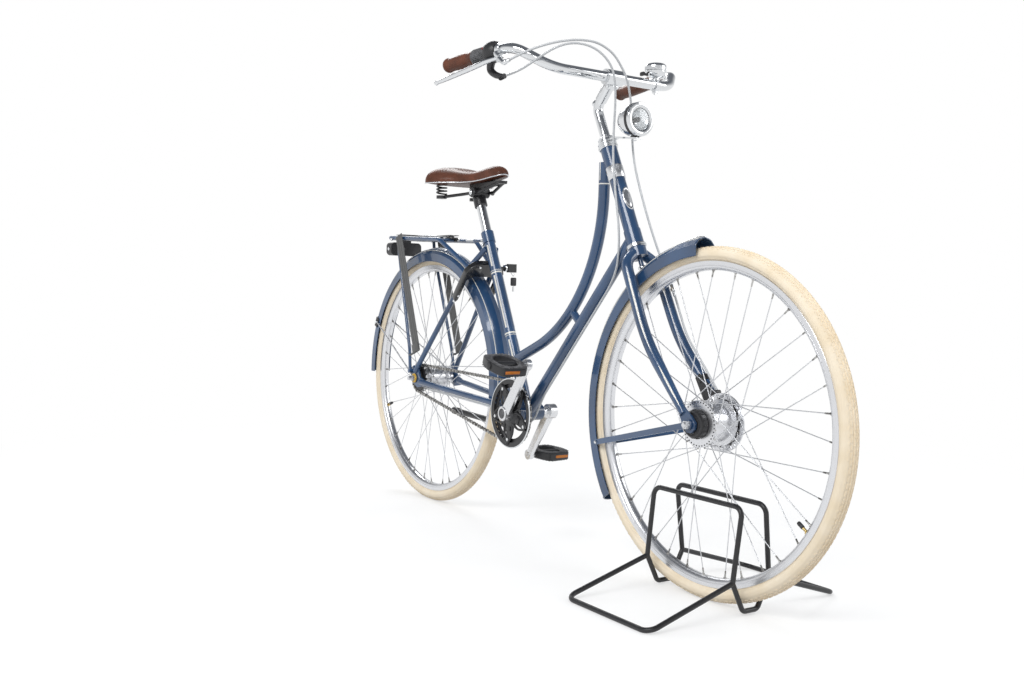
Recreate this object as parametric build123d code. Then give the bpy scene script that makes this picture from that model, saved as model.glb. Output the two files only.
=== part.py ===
from build123d import *
from math import acos, atan2, cos, radians, sin, tan
import os

# City bicycle with a swan-neck frame, standing in a wire display stand that holds the front wheel.
# While it is built, X points forward, Y to the rider's left and Z up, with the rear axle above the
# origin and the floor at Z = 0. save() moves every piece so that the middle of its length is at X = 0.

# ---------------------------------------------------------------- driving dimensions, millimetres
WHEELBASE = 1086.0
RIM_SEAT_RADIUS = 311.0
RIM_DEPTH = 13.0
RIM_LIP = 6.0
RIM_WIDTH = 24.0
RIM_EDGE_RADIUS = RIM_SEAT_RADIUS + RIM_LIP
RIM_INNER_RADIUS = RIM_SEAT_RADIUS - RIM_DEPTH
TYRE_HEIGHT = 34.0
TYRE_WIDTH = 37.0
TYRE_RADIUS = RIM_SEAT_RADIUS + TYRE_HEIGHT
SPOKE_PAIRS = 9
SPOKE_RADIUS = 1.0
SLIP = 0.3
SNUG = 0.15
HUB_AXLE_RADIUS = 5.0

FENDER_CLEARANCE = 20.0
FENDER_RADIUS = TYRE_RADIUS + FENDER_CLEARANCE
FENDER_HALF_WIDTH = 26.0
FENDER_DEPTH = 38.0
FENDER_WALL = 1.5

HEAD_ANGLE = 64.5
FORK_RAKE = 61.0
CROWN_ABOVE_FENDER = 54.0
FORK_LENGTH = FENDER_RADIUS + CROWN_ABOVE_FENDER
HEAD_LENGTH = 234.0
HEAD_RADIUS = 17.0
STEERER_RADIUS = 12.7
CUP_HEIGHT = 8.0
CUP_RADIUS = 21.0

BRACKET_AHEAD_OF_FENDER = 102.0
BRACKET_DROP = 47.0
BRACKET_X = FENDER_RADIUS + BRACKET_AHEAD_OF_FENDER
BRACKET_HEIGHT = TYRE_RADIUS - BRACKET_DROP
BRACKET_WIDTH = 70.0
BRACKET_RADIUS = 20.0
SEAT_ANGLE = 65.0
SEAT_TUBE_LENGTH = 491.0
SEAT_TUBE_RADIUS = 14.3
SEAT_POST_RADIUS = 12.6
SEAT_POST_SHOWN = 103.0
SEAT_POST_INSERT = 90.0
DOWN_TUBE_RADIUS = 14.3
SWAN_RADIUS = 12.7
SWAN_BEND = 386.0
SWAN_OFFSET = 21.0
SWAN_SLOPE = 23.0
SWAN_MEETS_SEAT = 138.0
CHAINSTAY_RADIUS = 8.0
SEATSTAY_RADIUS = 7.0
STAY_SPREAD = 64.0
DROPOUT_Y = 60.0
DROPOUT_THICKNESS = 5.0

CRANK_LENGTH = 170.0
CRANK_ANGLE = 48.0
CHAIN_LINE = 48.0
CHAIN_PITCH = 12.7
RING_TEETH = 38
SPROCKET_TEETH = 19
PEDAL_LENGTH = 92.0
PEDAL_WIDTH = 88.0
PEDAL_HEIGHT = 22.0
PEDAL_TILTS = {"right": 17.0, "left": 4.0}

BAR_RADIUS = 11.0
BAR_AHEAD_OF_HEAD = 7.0
BAR_ABOVE_HEAD = 155.0
BAR_BEND_Y = 162.0

CARRIER_HALF_WIDTH = 58.0
CARRIER_TAIL_X = -190.0
CARRIER_BEND_X = 112.0
CARRIER_ABOVE_FENDER = 30.0
CARRIER_SLOPE = 13.0
CARRIER_TAIL_Z = TYRE_RADIUS + FENDER_RADIUS + CARRIER_ABOVE_FENDER
CARRIER_BEND_Z = CARRIER_TAIL_Z - CARRIER_SLOPE
CARRIER_TUBE = 6.0

STAND_ROD = 5.0


# ---------------------------------------------------------------- small shape builders
def vec(x, y, z):
    return Vector(x, y, z)


def rod(start, end, radius, end_radius=None):
    """Round bar from start to end, a cone where end_radius is given."""
    start, end = Vector(start), Vector(end)
    span = end - start
    base = Plane(origin=start, z_dir=span.normalized())
    foot = (Align.CENTER, Align.CENTER, Align.MIN)
    if end_radius is None:
        return base * Cylinder(radius, span.length, align=foot)
    return base * Cone(radius, end_radius, span.length, align=foot)


def bent_rod(points, bends, radius):
    """Round bar along straight runs joined by tangent arcs, one bend radius for each corner."""
    path = FilletPolyline(*points, radius=bends)
    start = Plane(origin=path @ 0, z_dir=path % 0)
    return sweep(start * Circle(radius), path=path)


def wheel_plane(centre):
    """Plane square to Y at centre, its first axis forward and its third along +Y."""
    return Plane(origin=centre, x_dir=(1, 0, 0), z_dir=(0, 1, 0))


def turned(outline, centre, direction=(0, 1, 0), first=0.0, last=360.0):
    """Solid of revolution; outline lists (radius, height) corners, height measured along direction."""
    corners = [(radius, 0, height) for radius, height in outline]
    section = make_face(Polyline(*corners, close=True)).rotate(Axis.Z, -last)
    body = revolve(section, Axis.Z, last - first)
    if direction == (0, 1, 0):
        return wheel_plane(centre) * body
    return Plane(origin=centre, z_dir=direction) * body


def slab(corners, y_low, y_high):
    """Plate square to Y from (x, z) corners, between two heights along Y."""
    side = Plane(origin=(0, y_low, 0), x_dir=(1, 0, 0), z_dir=(0, -1, 0))
    outline = make_face(Polyline(*[(x, z) for x, z in corners], close=True))
    return extrude(side * outline, -(y_high - y_low))


def both_sides(solid):
    """The solid and its mirror image in the wheel plane."""
    return [solid, mirror(solid, about=Plane.XZ)]


def flat_bar(start, end, width, thickness):
    """Flat bar from start to end, its thin side towards the rider's left or right."""
    start, end = Vector(start), Vector(end)
    span = end - start
    across = vec(0, 1, 0) - span.normalized() * span.normalized().Y
    base = Plane(origin=start, x_dir=across, z_dir=span.normalized())
    return base * Box(thickness, width, span.length, align=(Align.CENTER, Align.CENTER, Align.MIN))


def hex_nut(centre, low, high, across, bore=0.0):
    """Six-sided nut along Y, between two heights from centre."""
    blank = RegularPolygon(across / 2, 6, major_radius=False)
    nut = wheel_plane(centre + vec(0, low, 0)) * extrude(blank, high - low)
    if bore:
        nut = nut - rod(centre + vec(0, low - 1, 0), centre + vec(0, high + 1, 0), bore)
    return nut


def joined(first, *others):
    """All the solids fused into one."""
    for other in others:
        first = first + other
    return first


# ---------------------------------------------------------------- points that the pieces share
REAR_AXLE = vec(0, 0, TYRE_RADIUS)
FRONT_AXLE = vec(WHEELBASE, 0, TYRE_RADIUS)
BRACKET = vec(BRACKET_X, 0, BRACKET_HEIGHT)
STEER_UP = vec(-cos(radians(HEAD_ANGLE)), 0, sin(radians(HEAD_ANGLE)))
STEER_AHEAD = vec(sin(radians(HEAD_ANGLE)), 0, cos(radians(HEAD_ANGLE)))
HEAD_FOOT = FRONT_AXLE - STEER_AHEAD * FORK_RAKE + STEER_UP * FORK_LENGTH
HEAD_TOP = HEAD_FOOT + STEER_UP * HEAD_LENGTH
SEAT_UP = vec(-cos(radians(SEAT_ANGLE)), 0, sin(radians(SEAT_ANGLE)))
SEAT_TOP = BRACKET + SEAT_UP * SEAT_TUBE_LENGTH
POST_TOP = SEAT_TOP + SEAT_UP * SEAT_POST_SHOWN
SEAT_BACK = vec(-SEAT_UP.Z, 0, SEAT_UP.X)
BAR_X = round(HEAD_TOP.X) + BAR_AHEAD_OF_HEAD
BAR_HEIGHT = round(HEAD_TOP.Z) + BAR_ABOVE_HEAD
ORIGIN_X = (WHEELBASE + TYRE_RADIUS - FENDER_RADIUS) / 2


def on_steer(height, side=0.0, ahead=0.0):
    """Point at a height above the head tube's foot along the steering axis."""
    return HEAD_FOOT + STEER_UP * height + STEER_AHEAD * ahead + vec(0, side, 0)


def on_seat(height, side=0.0, behind=0.0):
    """Point at a height above the bottom bracket along the seat tube."""
    return BRACKET + SEAT_UP * height + SEAT_BACK * behind + vec(0, side, 0)


def from_axle(axle, ahead, side, rise):
    """Point ahead of, to the left of and above a wheel's axle."""
    return axle + vec(ahead, side, rise)


def from_bar(ahead, side, rise):
    """Point ahead of, to the left of and above the middle of the handlebar."""
    return vec(BAR_X + ahead, side, BAR_HEIGHT + rise)


def crank_point(side, reach, y):
    """Point on a crank's line, reach from the bracket axis; side is -1 right, 1 left."""
    angle = radians(CRANK_ANGLE)
    return BRACKET + vec(-side * reach * cos(angle), y, -side * reach * sin(angle))


def save(name, *solids):
    """Writes one node, in the part's own frame."""
    shape = solids[0] if len(solids) == 1 else Compound(children=list(solids))
    export_step(Pos(-ORIGIN_X, 0, 0) * shape, f"parts/{name}.step")


os.makedirs("parts", exist_ok=True)

# ---------------------------------------------------------------- frame tubes
head_bar = rod(HEAD_FOOT, HEAD_TOP, HEAD_RADIUS)
steerer_bore = rod(on_steer(-1), on_steer(HEAD_LENGTH + 1), STEERER_RADIUS + 1.5)
LUG_WALL = 2.5
lug_low = rod(HEAD_FOOT, on_steer(34), HEAD_RADIUS + LUG_WALL - 1)
lug_high = rod(on_steer(HEAD_LENGTH - 62), HEAD_TOP, HEAD_RADIUS + LUG_WALL - 1)
head_shell = head_bar + lug_low + lug_high
save("head_tube", head_shell - steerer_bore)

seat_bar = rod(BRACKET, SEAT_TOP, SEAT_TUBE_RADIUS)
bracket_half = vec(0, BRACKET_WIDTH / 2, 0)
bracket_bar = rod(BRACKET - bracket_half, BRACKET + bracket_half, BRACKET_RADIUS)
AXLE_RADIUS = 8.5
bracket_bore = rod(BRACKET - vec(0, BRACKET_WIDTH, 0), BRACKET + vec(0, BRACKET_WIDTH, 0), AXLE_RADIUS + 6)
save("bottom_bracket", bracket_bar - bracket_bore)

post_bore = rod(SEAT_TOP - SEAT_UP * (SEAT_POST_INSERT + 10), SEAT_TOP + SEAT_UP, SEAT_POST_RADIUS + SLIP / 2)
SEAT_LUG = 16.5
seat_lug = rod(on_seat(SEAT_TUBE_LENGTH - 30), SEAT_TOP, SEAT_LUG)
save("seat_tube", (seat_bar + seat_lug) - bracket_bar - post_bore)

DOWN_MEETS_HEAD = 18.0
down_bar = rod(BRACKET, on_steer(DOWN_MEETS_HEAD), DOWN_TUBE_RADIUS)
below_head = rod(on_steer(-40), HEAD_FOOT, CUP_RADIUS + 4)
save("down_tube", down_bar - bracket_bar - head_shell - seat_bar - below_head)

swan_corner_x = on_steer(HEAD_LENGTH).X - SWAN_OFFSET + 8.6
swan_foot = on_seat(SWAN_MEETS_SEAT)
swan_rise = (swan_corner_x - swan_foot.X) * tan(radians(SWAN_SLOPE))
swan_corner = vec(swan_corner_x, 0, swan_foot.Z + swan_rise)
swan_head = vec(swan_corner_x, 0, HEAD_TOP.Z - 27)
swan_runs = (swan_corner - swan_head, swan_foot - swan_corner)
swan_half_turn = radians(swan_runs[0].get_angle(swan_runs[1])) / 2
swan_bend = min(SWAN_BEND, 0.98 * min(run.length for run in swan_runs) / tan(swan_half_turn))
swan_bar = bent_rod([swan_head, swan_corner, swan_foot], [swan_bend], SWAN_RADIUS)
save("swan_tube", swan_bar - head_shell - seat_bar)

# short strut that ties the swan-neck tube to the down tube where they run closest
STRUT_RADIUS = 9.0
STRUT_SHARE = 0.535
down_run = on_steer(DOWN_MEETS_HEAD) - BRACKET
strut_foot = BRACKET + down_run * STRUT_SHARE
strut_side = vec(-down_run.Z, 0, down_run.X).normalized()
strut = rod(strut_foot, strut_foot + strut_side * 60, STRUT_RADIUS) - down_bar - swan_bar
save("tube_strut", strut.solids().sort_by_distance(strut_foot + strut_side * DOWN_TUBE_RADIUS)[0])

# rear triangle
CHAINSTAY_FOOT = from_axle(REAR_AXLE, 32, DROPOUT_Y + 1.5, -9)
CHAINSTAY_HEAD = BRACKET + vec(-15, 26, 7)
SEATSTAY_FOOT = from_axle(REAR_AXLE, 4, STAY_SPREAD, 19)
SEATSTAY_KNEE = vec(round(SEAT_TOP.X) - 20, 36, round(SEAT_TOP.Z) - 88)
SEATSTAY_HEAD = on_seat(SEAT_TUBE_LENGTH - 46, 15, 0)


def dropout(side):
    shape = [(-24, 5), (-24, 27), (-8, 35), (14, 31), (26, 5), (50, -2), (48, -19), (14, -25), (-10, -15)]
    corners = [(REAR_AXLE.X + ahead, REAR_AXLE.Z + rise) for ahead, rise in shape]
    low = side * DROPOUT_Y - DROPOUT_THICKNESS / 2
    plate = slab(corners, low, low + DROPOUT_THICKNESS)
    hole = rod(REAR_AXLE + vec(0, low - 5, 0), REAR_AXLE + vec(0, low + 15, 0), HUB_AXLE_RADIUS + SNUG)
    return plate - hole


dropouts = [dropout(1), dropout(-1)]
save("dropouts", *dropouts)
chain_stays = []
seat_stays = []
for plate, side in zip(dropouts, (1, -1)):
    def mirrored(point):
        return vec(point.X, point.Y * side, point.Z)

    chain_stay = rod(mirrored(CHAINSTAY_FOOT), mirrored(CHAINSTAY_HEAD), CHAINSTAY_RADIUS)
    chain_stays.append(chain_stay - plate - bracket_bar)
    stay_points = [mirrored(SEATSTAY_FOOT), mirrored(SEATSTAY_KNEE), mirrored(SEATSTAY_HEAD)]
    seat_stay = bent_rod(stay_points, [90], SEATSTAY_RADIUS)
    seat_stays.append(seat_stay - plate - seat_bar)
save("chain_stays", *chain_stays)
save("seat_stays", *seat_stays)


# ---------------------------------------------------------------- bracket bearings and headset
def collar(inner, outer, low, high, chamfer=1.0):
    """Outline of a ring with its outer corners eased, for turned()."""
    return [(inner, low), (outer - chamfer, low), (outer, low + chamfer),
            (outer, high - chamfer), (outer - chamfer, high), (inner, high)]


HALF_SHELL = BRACKET_WIDTH / 2
CUP_LIP = 3.0
bearing = turned(collar(AXLE_RADIUS + SLIP, BRACKET_RADIUS - 2, HALF_SHELL, HALF_SHELL + CUP_LIP), BRACKET)
save("bracket_bearings", *both_sides(bearing))

HEAD_BORE = STEERER_RADIUS + 1.5
cup_low = turned(collar(HEAD_BORE, CUP_RADIUS, -CUP_HEIGHT, 0), HEAD_FOOT, STEER_UP)
cup_high = turned(collar(HEAD_BORE, CUP_RADIUS, HEAD_LENGTH, HEAD_LENGTH + CUP_HEIGHT), HEAD_FOOT, STEER_UP)
save("headset_cups", cup_low, cup_high)

# ---------------------------------------------------------------- seat post and saddle
post_bar = rod(SEAT_TOP - SEAT_UP * SEAT_POST_INSERT, POST_TOP, SEAT_POST_RADIUS)
save("seat_post", post_bar)

# the saddle's plan is set out from the middle of the post's top, and its crown from the height of that top
SADDLE_NOSE = 122.0
SADDLE_TAIL = 142.0
SADDLE_HALF_WIDTH = 104.0
SADDLE_X = round(POST_TOP.X)
SADDLE_Z = round(POST_TOP.Z)
SADDLE_FLOOR = POST_TOP.Z + 36
saddle_edge = [(104, 21), (46, 27), (-16, 46), (-68, 88), (-108, SADDLE_HALF_WIDTH), (-134, 84),
               (-SADDLE_TAIL, 40)]
plan_points = [(SADDLE_NOSE, 0)] + saddle_edge + [(ahead, -side) for ahead, side in saddle_edge[::-1]]
saddle_plan = Spline([(SADDLE_X + ahead, side) for ahead, side in plan_points], periodic=True)
saddle_block = extrude(Plane.XY.offset(SADDLE_FLOOR) * make_face(saddle_plan), 80)
nose_x, tail_x = SADDLE_X + SADDLE_NOSE, SADDLE_X - SADDLE_TAIL
saddle_crown = [(-138, 79), (-116, 89), (-66, 77), (-16, 67), (39, 71), (84, 75), (112, 63)]
saddle_side = [(tail_x - 4, SADDLE_FLOOR + 16)]
saddle_side += [(SADDLE_X + ahead, SADDLE_Z + rise) for ahead, rise in saddle_crown]
saddle_side += [(nose_x + 2, SADDLE_FLOOR + 10), (nose_x, SADDLE_FLOOR), (SADDLE_X - 26, SADDLE_FLOOR),
                (SADDLE_X - 96, SADDLE_FLOOR + 12)]
save("saddle_cover", saddle_block & slab(saddle_side, -120, 120))

CLAMP_RADIUS = 17.0
CLAMP_X = POST_TOP.X + 3
CLAMP_Z = POST_TOP.Z + 12
PLATE_TOP = SADDLE_FLOOR - SLIP
RAIL_RADIUS = 4.0
SPRING_X = CLAMP_X - 110
SPRING_Y = 52.0
SPRING_LOW = POST_TOP.Z + 8
SPRING_TOP = SADDLE_FLOOR + 11
clamp_sleeve = rod(POST_TOP - SEAT_UP * 26, POST_TOP + SEAT_UP * 4, CLAMP_RADIUS) - post_bar
clamp_barrel = rod((CLAMP_X, -24, CLAMP_Z), (CLAMP_X, 24, CLAMP_Z), 13) - post_bar
tongue = slab([(CLAMP_X - 20, CLAMP_Z), (CLAMP_X - 30, PLATE_TOP - 8), (CLAMP_X - 34, PLATE_TOP),
               (CLAMP_X + 112, PLATE_TOP), (CLAMP_X + 110, PLATE_TOP - 7), (CLAMP_X + 30, PLATE_TOP - 12),
               (CLAMP_X + 14, CLAMP_Z)], -12, 12)
rails = [bent_rod([(CLAMP_X + 98, side * 8, PLATE_TOP - 5), (CLAMP_X + 34, side * 20, CLAMP_Z),
                   (CLAMP_X - 40, side * 22, CLAMP_Z - 2), (SPRING_X, side * SPRING_Y, SPRING_LOW - 4)],
                  [30, 40], RAIL_RADIUS) for side in (1, -1)]
feet = [rod((SPRING_X, side * SPRING_Y, SPRING_LOW - 8), (SPRING_X, side * SPRING_Y, SPRING_LOW), 14)
        for side in (1, -1)]
undercarriage = clamp_sleeve + clamp_barrel + tongue
for piece in rails + feet:
    undercarriage = undercarriage + piece
save("saddle_undercarriage", undercarriage - post_bar)

SPRING_COIL_RADIUS = 13.0
SPRING_WIRE = 2.2
SPRING_TURNS = 4
springs = []
for side in (1, -1):
    rise = SPRING_TOP - SPRING_LOW - 2 * SPRING_WIRE - 4 * SLIP
    coil = Pos(SPRING_X, side * SPRING_Y, SPRING_LOW + SPRING_WIRE + 2 * SLIP) * Helix(
        pitch=rise / SPRING_TURNS, height=rise, radius=SPRING_COIL_RADIUS)
    profile = Plane(origin=coil @ 0, z_dir=coil % 0) * Circle(SPRING_WIRE)
    springs.append(sweep(profile, path=coil, is_frenet=True))
save("saddle_springs", *springs)


# ---------------------------------------------------------------- fenders
def fender(axle, first, last, depth):
    """Deep channel round a wheel between two angles from straight ahead, over the top."""
    outline = []
    for inset, order in ((0.0, 1), (FENDER_WALL, -1)):
        half = FENDER_HALF_WIDTH - inset
        crown = FENDER_RADIUS - inset
        shoulder = FENDER_RADIUS - FENDER_CROWN
        run = [(FENDER_RADIUS - depth, -half), (shoulder, -half), (crown - 5, -half * 0.62), (crown, 0),
               (crown - 5, half * 0.62), (shoulder, half), (FENDER_RADIUS - depth, half)]
        outline += run[::order]
    return turned(outline, axle, first=first, last=last)


FENDER_CROWN = 17.0
REAR_FENDER_ARC = (-6.0, 181.0)
FRONT_FENDER_ARC = (95.0, 214.0)
save("rear_fender", fender(REAR_AXLE, *REAR_FENDER_ARC, FENDER_DEPTH))
save("front_fender", fender(FRONT_AXLE, *FRONT_FENDER_ARC, FENDER_DEPTH))


# ---------------------------------------------------------------- wheels
def tyre(axle):
    half = TYRE_WIDTH / 2
    seat = RIM_WIDTH / 2 - RIM_WALL - SLIP / 2
    side = [(RIM_SEAT_RADIUS, seat), (RIM_EDGE_RADIUS + 1, seat), (TYRE_RADIUS - 16, half),
            (TYRE_RADIUS, half * 0.38)]
    outline = [(radius, -y) for radius, y in side] + [(radius, y) for radius, y in side[::-1]]
    return turned(outline, axle)


def rim(axle):
    half = RIM_WIDTH / 2
    inner = half - RIM_WALL
    outline = [(RIM_INNER_RADIUS, -5), (RIM_SEAT_RADIUS - 4, -half), (RIM_EDGE_RADIUS, -half),
               (RIM_EDGE_RADIUS, -inner), (RIM_SEAT_RADIUS, -inner), (RIM_SEAT_RADIUS, inner),
               (RIM_EDGE_RADIUS, inner), (RIM_EDGE_RADIUS, half), (RIM_SEAT_RADIUS - 4, half),
               (RIM_INNER_RADIUS, 5)]
    return turned(outline, axle)


def spokes(axle, flange_radius, flange_y):
    """Crossed spokes from both hub flanges to the rim, heads alternately in and out of the flange."""
    wires = []
    step = 360 / (SPOKE_PAIRS * 4)
    for index in range(SPOKE_PAIRS * 4):
        side = 1 if index % 2 == 0 else -1
        lead = 1 if (index // 2) % 2 == 0 else -1
        rim_angle = radians(step * index)
        hub_angle = rim_angle + lead * radians(SPOKE_LEAD)
        head_y = side * (flange_y + lead * HEAD_STEP)
        foot = axle + vec(flange_radius * cos(hub_angle), head_y, flange_radius * sin(hub_angle))
        end = RIM_INNER_RADIUS - 2 * SLIP
        tip = axle + vec(end * cos(rim_angle), side * (NIPPLE_Y + lead * NIPPLE_STEP), end * sin(rim_angle))
        wires.append(rod(foot, tip, SPOKE_RADIUS))
    return wires


RIM_WALL = 2.0
SPOKE_LEAD = 62.0
HEAD_STEP = 2.8
NIPPLE_Y = 3.0
NIPPLE_STEP = 0.6
for name, axle in (("front", FRONT_AXLE), ("rear", REAR_AXLE)):
    save(f"{name}_tyre", tyre(axle))
    save(f"{name}_rim", rim(axle))

HUB_BORE = HUB_AXLE_RADIUS + SLIP
FRONT_FLANGE_Y = 28.0
FRONT_FLANGE_RADIUS = 46.0
REAR_FLANGE_Y = 27.0
REAR_FLANGE_RADIUS = 34.0
FLANGE_WALL = 3.0


def hub(axle, shell_radius, flange_radius, flange_y, ends):
    """Hub shell with two flanges, bored for its axle; ends lists stepped outlines beyond the flanges."""
    outer = flange_y + FLANGE_WALL / 2
    inner = flange_y - FLANGE_WALL / 2
    right, left = ends
    outline = [(HUB_BORE, right[-1][1])] + [(radius, y) for radius, y in right[::-1]]
    outline += [(flange_radius, -outer), (flange_radius, -inner), (shell_radius, -inner + 3),
                (shell_radius, inner - 3), (flange_radius, inner), (flange_radius, outer)]
    outline += left + [(HUB_BORE, left[-1][1])]
    return turned(outline, axle)


# a cooling disc turns with the front hub, beside the brake
DISC_RADIUS = 58.0
DISC_FACE = 36.0
save("front_hub", hub(FRONT_AXLE, 37, FRONT_FLANGE_RADIUS, FRONT_FLANGE_Y,
                      ([(26, -30), (26, -43), (22, -46)],
                       [(34, 29.5), (34, DISC_FACE - 3), (DISC_RADIUS, DISC_FACE - 3),
                        (DISC_RADIUS, DISC_FACE)])))
save("front_spokes", *spokes(FRONT_AXLE, FRONT_FLANGE_RADIUS + SPOKE_RADIUS + SLIP, FRONT_FLANGE_Y))

DRIVER_RADIUS = 17.0
SPROCKET_HALF = 1.4
save("rear_hub", hub(REAR_AXLE, 27, REAR_FLANGE_RADIUS, REAR_FLANGE_Y,
                     ([(24, -29), (24, -CHAIN_LINE + 4), (DRIVER_RADIUS, -CHAIN_LINE + 4),
                       (DRIVER_RADIUS, -CHAIN_LINE - 4)],
                      [(26, 29), (26, 36), (17, 38), (17, 52)])))
save("rear_spokes", *spokes(REAR_AXLE, REAR_FLANGE_RADIUS + SPOKE_RADIUS + SLIP, REAR_FLANGE_Y))


def pitch_radius(teeth):
    return CHAIN_PITCH / (2 * sin(radians(180 / teeth)))


def toothed_plate(centre, teeth, inner):
    """Flat toothed ring in the chain's plane."""
    pitch = pitch_radius(teeth)
    corners = []
    tooth_shape = ((-0.33, pitch - 4), (-0.13, pitch + 3.5), (0.13, pitch + 3.5), (0.33, pitch - 4))
    for tooth in range(teeth):
        for share, radius in tooth_shape:
            angle = radians(360 / teeth * (tooth + share))
            corners.append((centre.X + radius * cos(angle), centre.Z + radius * sin(angle)))
    low, high = -CHAIN_LINE - SPROCKET_HALF, -CHAIN_LINE + SPROCKET_HALF
    bore = rod(centre + vec(0, low - 1, 0), centre + vec(0, high + 1, 0), inner)
    return slab(corners, low, high) - bore


save("rear_sprocket", toothed_plate(REAR_AXLE, SPROCKET_TEETH, DRIVER_RADIUS + SNUG))

NUT_ACROSS = 15.0
CABLE_DRUM_RADIUS = 24.0
rear_axle = joined(
    rod(REAR_AXLE - vec(0, 78, 0), REAR_AXLE + vec(0, 78, 0), HUB_AXLE_RADIUS),
    *both_sides(rod(REAR_AXLE + vec(0, 62.7, 0), REAR_AXLE + vec(0, 66, 0), 10.5)),
    *both_sides(hex_nut(REAR_AXLE, 65.8, 74, NUT_ACROSS)),
    *both_sides(rod(REAR_AXLE + vec(0, 74, 0), REAR_AXLE + vec(0, 84, 0), 6.5, 5)),
    rod(REAR_AXLE + vec(0, 52.4, 0), REAR_AXLE + vec(0, 57.3, 0), 8),
    rod(REAR_AXLE - vec(0, 56.6, 0), REAR_AXLE - vec(0, 52.4, 0), CABLE_DRUM_RADIUS))
save("rear_axle", rear_axle)

# ---------------------------------------------------------------- fork
FORK_END_Y = 50.0
FORK_END_THICKNESS = 5.0
BLADE_RADIUS = 12.0
BLADE_TIP_RADIUS = 8.5
BLADE_KNEE = -218.0
QUILL_RADIUS = 11.1
STEERER_TOP = HEAD_LENGTH + 22
CROWN_RADIUS = 19.0
steerer = rod(on_steer(-30), on_steer(STEERER_TOP), STEERER_RADIUS)
steerer = steerer - rod(on_steer(150), on_steer(STEERER_TOP + 1), QUILL_RADIUS + SLIP)
crown = rod(on_steer(-30), on_steer(-CUP_HEIGHT - SLIP), CROWN_RADIUS)
knee = on_steer(BLADE_KNEE, 46)
blade_way = (knee - FRONT_AXLE - vec(0, 53, 0)).normalized()
end_way = vec(blade_way.X, 0, blade_way.Z).normalized()
end_side = vec(end_way.Z, 0, -end_way.X)
blade_end = FRONT_AXLE + vec(0, 53, 0) + blade_way * 26
blade_turn = knee - blade_way * 62
blade = joined(
    bent_rod([on_steer(-16, 6), on_steer(-42, 42), knee, blade_turn], [38, 350], BLADE_RADIUS),
    rod(blade_turn, blade_end, BLADE_RADIUS, BLADE_TIP_RADIUS))
end_shape = [(44, -7), (44, 7), (8, 15), (-8, 15), (-16, 6), (-16, -6), (-8, -15), (8, -15)]
end_corners = [FRONT_AXLE + end_way * along + end_side * across for along, across in end_shape]
fork_end = slab([(point.X, point.Z) for point in end_corners], FORK_END_Y, FORK_END_Y + FORK_END_THICKNESS)
axle_hole = rod(FRONT_AXLE - vec(0, 90, 0), FRONT_AXLE + vec(0, 90, 0), HUB_AXLE_RADIUS + SNUG)
above_crown = rod(on_steer(-CUP_HEIGHT - SLIP), on_steer(20), 40)
fender_bolt = rod(on_steer(-29), on_steer(-58), 5)
fork = joined(steerer, crown, fender_bolt, *both_sides(blade - above_crown), *both_sides(fork_end)) - axle_hole
save("fork", fork)

locknut = turned(collar(STEERER_RADIUS + SNUG, 20, HEAD_LENGTH + CUP_HEIGHT + SLIP, HEAD_LENGTH + 16),
                 HEAD_FOOT, STEER_UP)
top_nut = turned(collar(STEERER_RADIUS + SNUG, 17, HEAD_LENGTH + 20, HEAD_LENGTH + 28), HEAD_FOOT, STEER_UP)
save("headset_locknut", locknut, top_nut)

# front axle, its nuts, and the stays that they clamp
STAY_EYE_Y = FORK_END_Y + FORK_END_THICKNESS + SLIP
STAY_THICKNESS = 3.0
nut_low = STAY_EYE_Y + STAY_THICKNESS + SLIP
front_axle = joined(
    rod(FRONT_AXLE - vec(0, nut_low + 9, 0), FRONT_AXLE + vec(0, nut_low + 9, 0), HUB_AXLE_RADIUS),
    *both_sides(hex_nut(FRONT_AXLE, nut_low, nut_low + 8, NUT_ACROSS)),
    *both_sides(rod(FRONT_AXLE + vec(0, nut_low + 8, 0), FRONT_AXLE + vec(0, nut_low + 12, 0), 6, 4.5)))
save("front_axle", front_axle)

# ---------------------------------------------------------------- front brake, on the left
BRAKE_LOW = DISC_FACE + 1.8
BRAKE_HIGH = 43.0
brake_unit = turned([(HUB_AXLE_RADIUS + SNUG, BRAKE_LOW), (36, BRAKE_LOW), (38, BRAKE_LOW + 2),
                     (38, BRAKE_HIGH - 3), (34, BRAKE_HIGH), (12, BRAKE_HIGH), (12, FORK_END_Y - SLIP),
                     (HUB_AXLE_RADIUS + SNUG, FORK_END_Y - SLIP)], FRONT_AXLE)
arm_shape = [(10, -30), (10, 30), (60, 20), (116, 7), (116, -7), (40, -22)]
arm_corners = [FRONT_AXLE + end_way * along + end_side * across for along, across in arm_shape]
brake_arm = slab([(point.X, point.Z) for point in arm_corners], BRAKE_LOW, BRAKE_LOW + 2.6)
band_centre = FRONT_AXLE + vec(0, 53, 0) + blade_way * 106
brake_band = rod(band_centre - blade_way * 6, band_centre + blade_way * 6, 13)
brake_axle_clear = rod(FRONT_AXLE, FRONT_AXLE + vec(0, 90, 0), HUB_AXLE_RADIUS + SNUG)
ANCHOR_RADIUS = 4.5
ANCHOR_Y = 47.0
anchor_foot = FRONT_AXLE + end_way * 60 + end_side * 19
anchor = rod(anchor_foot + vec(0, BRAKE_LOW + 1, 0), anchor_foot + vec(0, ANCHOR_Y + 4, 0), ANCHOR_RADIUS)
save("front_brake", joined(brake_unit, brake_arm, brake_band, anchor) - fork - brake_axle_clear)

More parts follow.
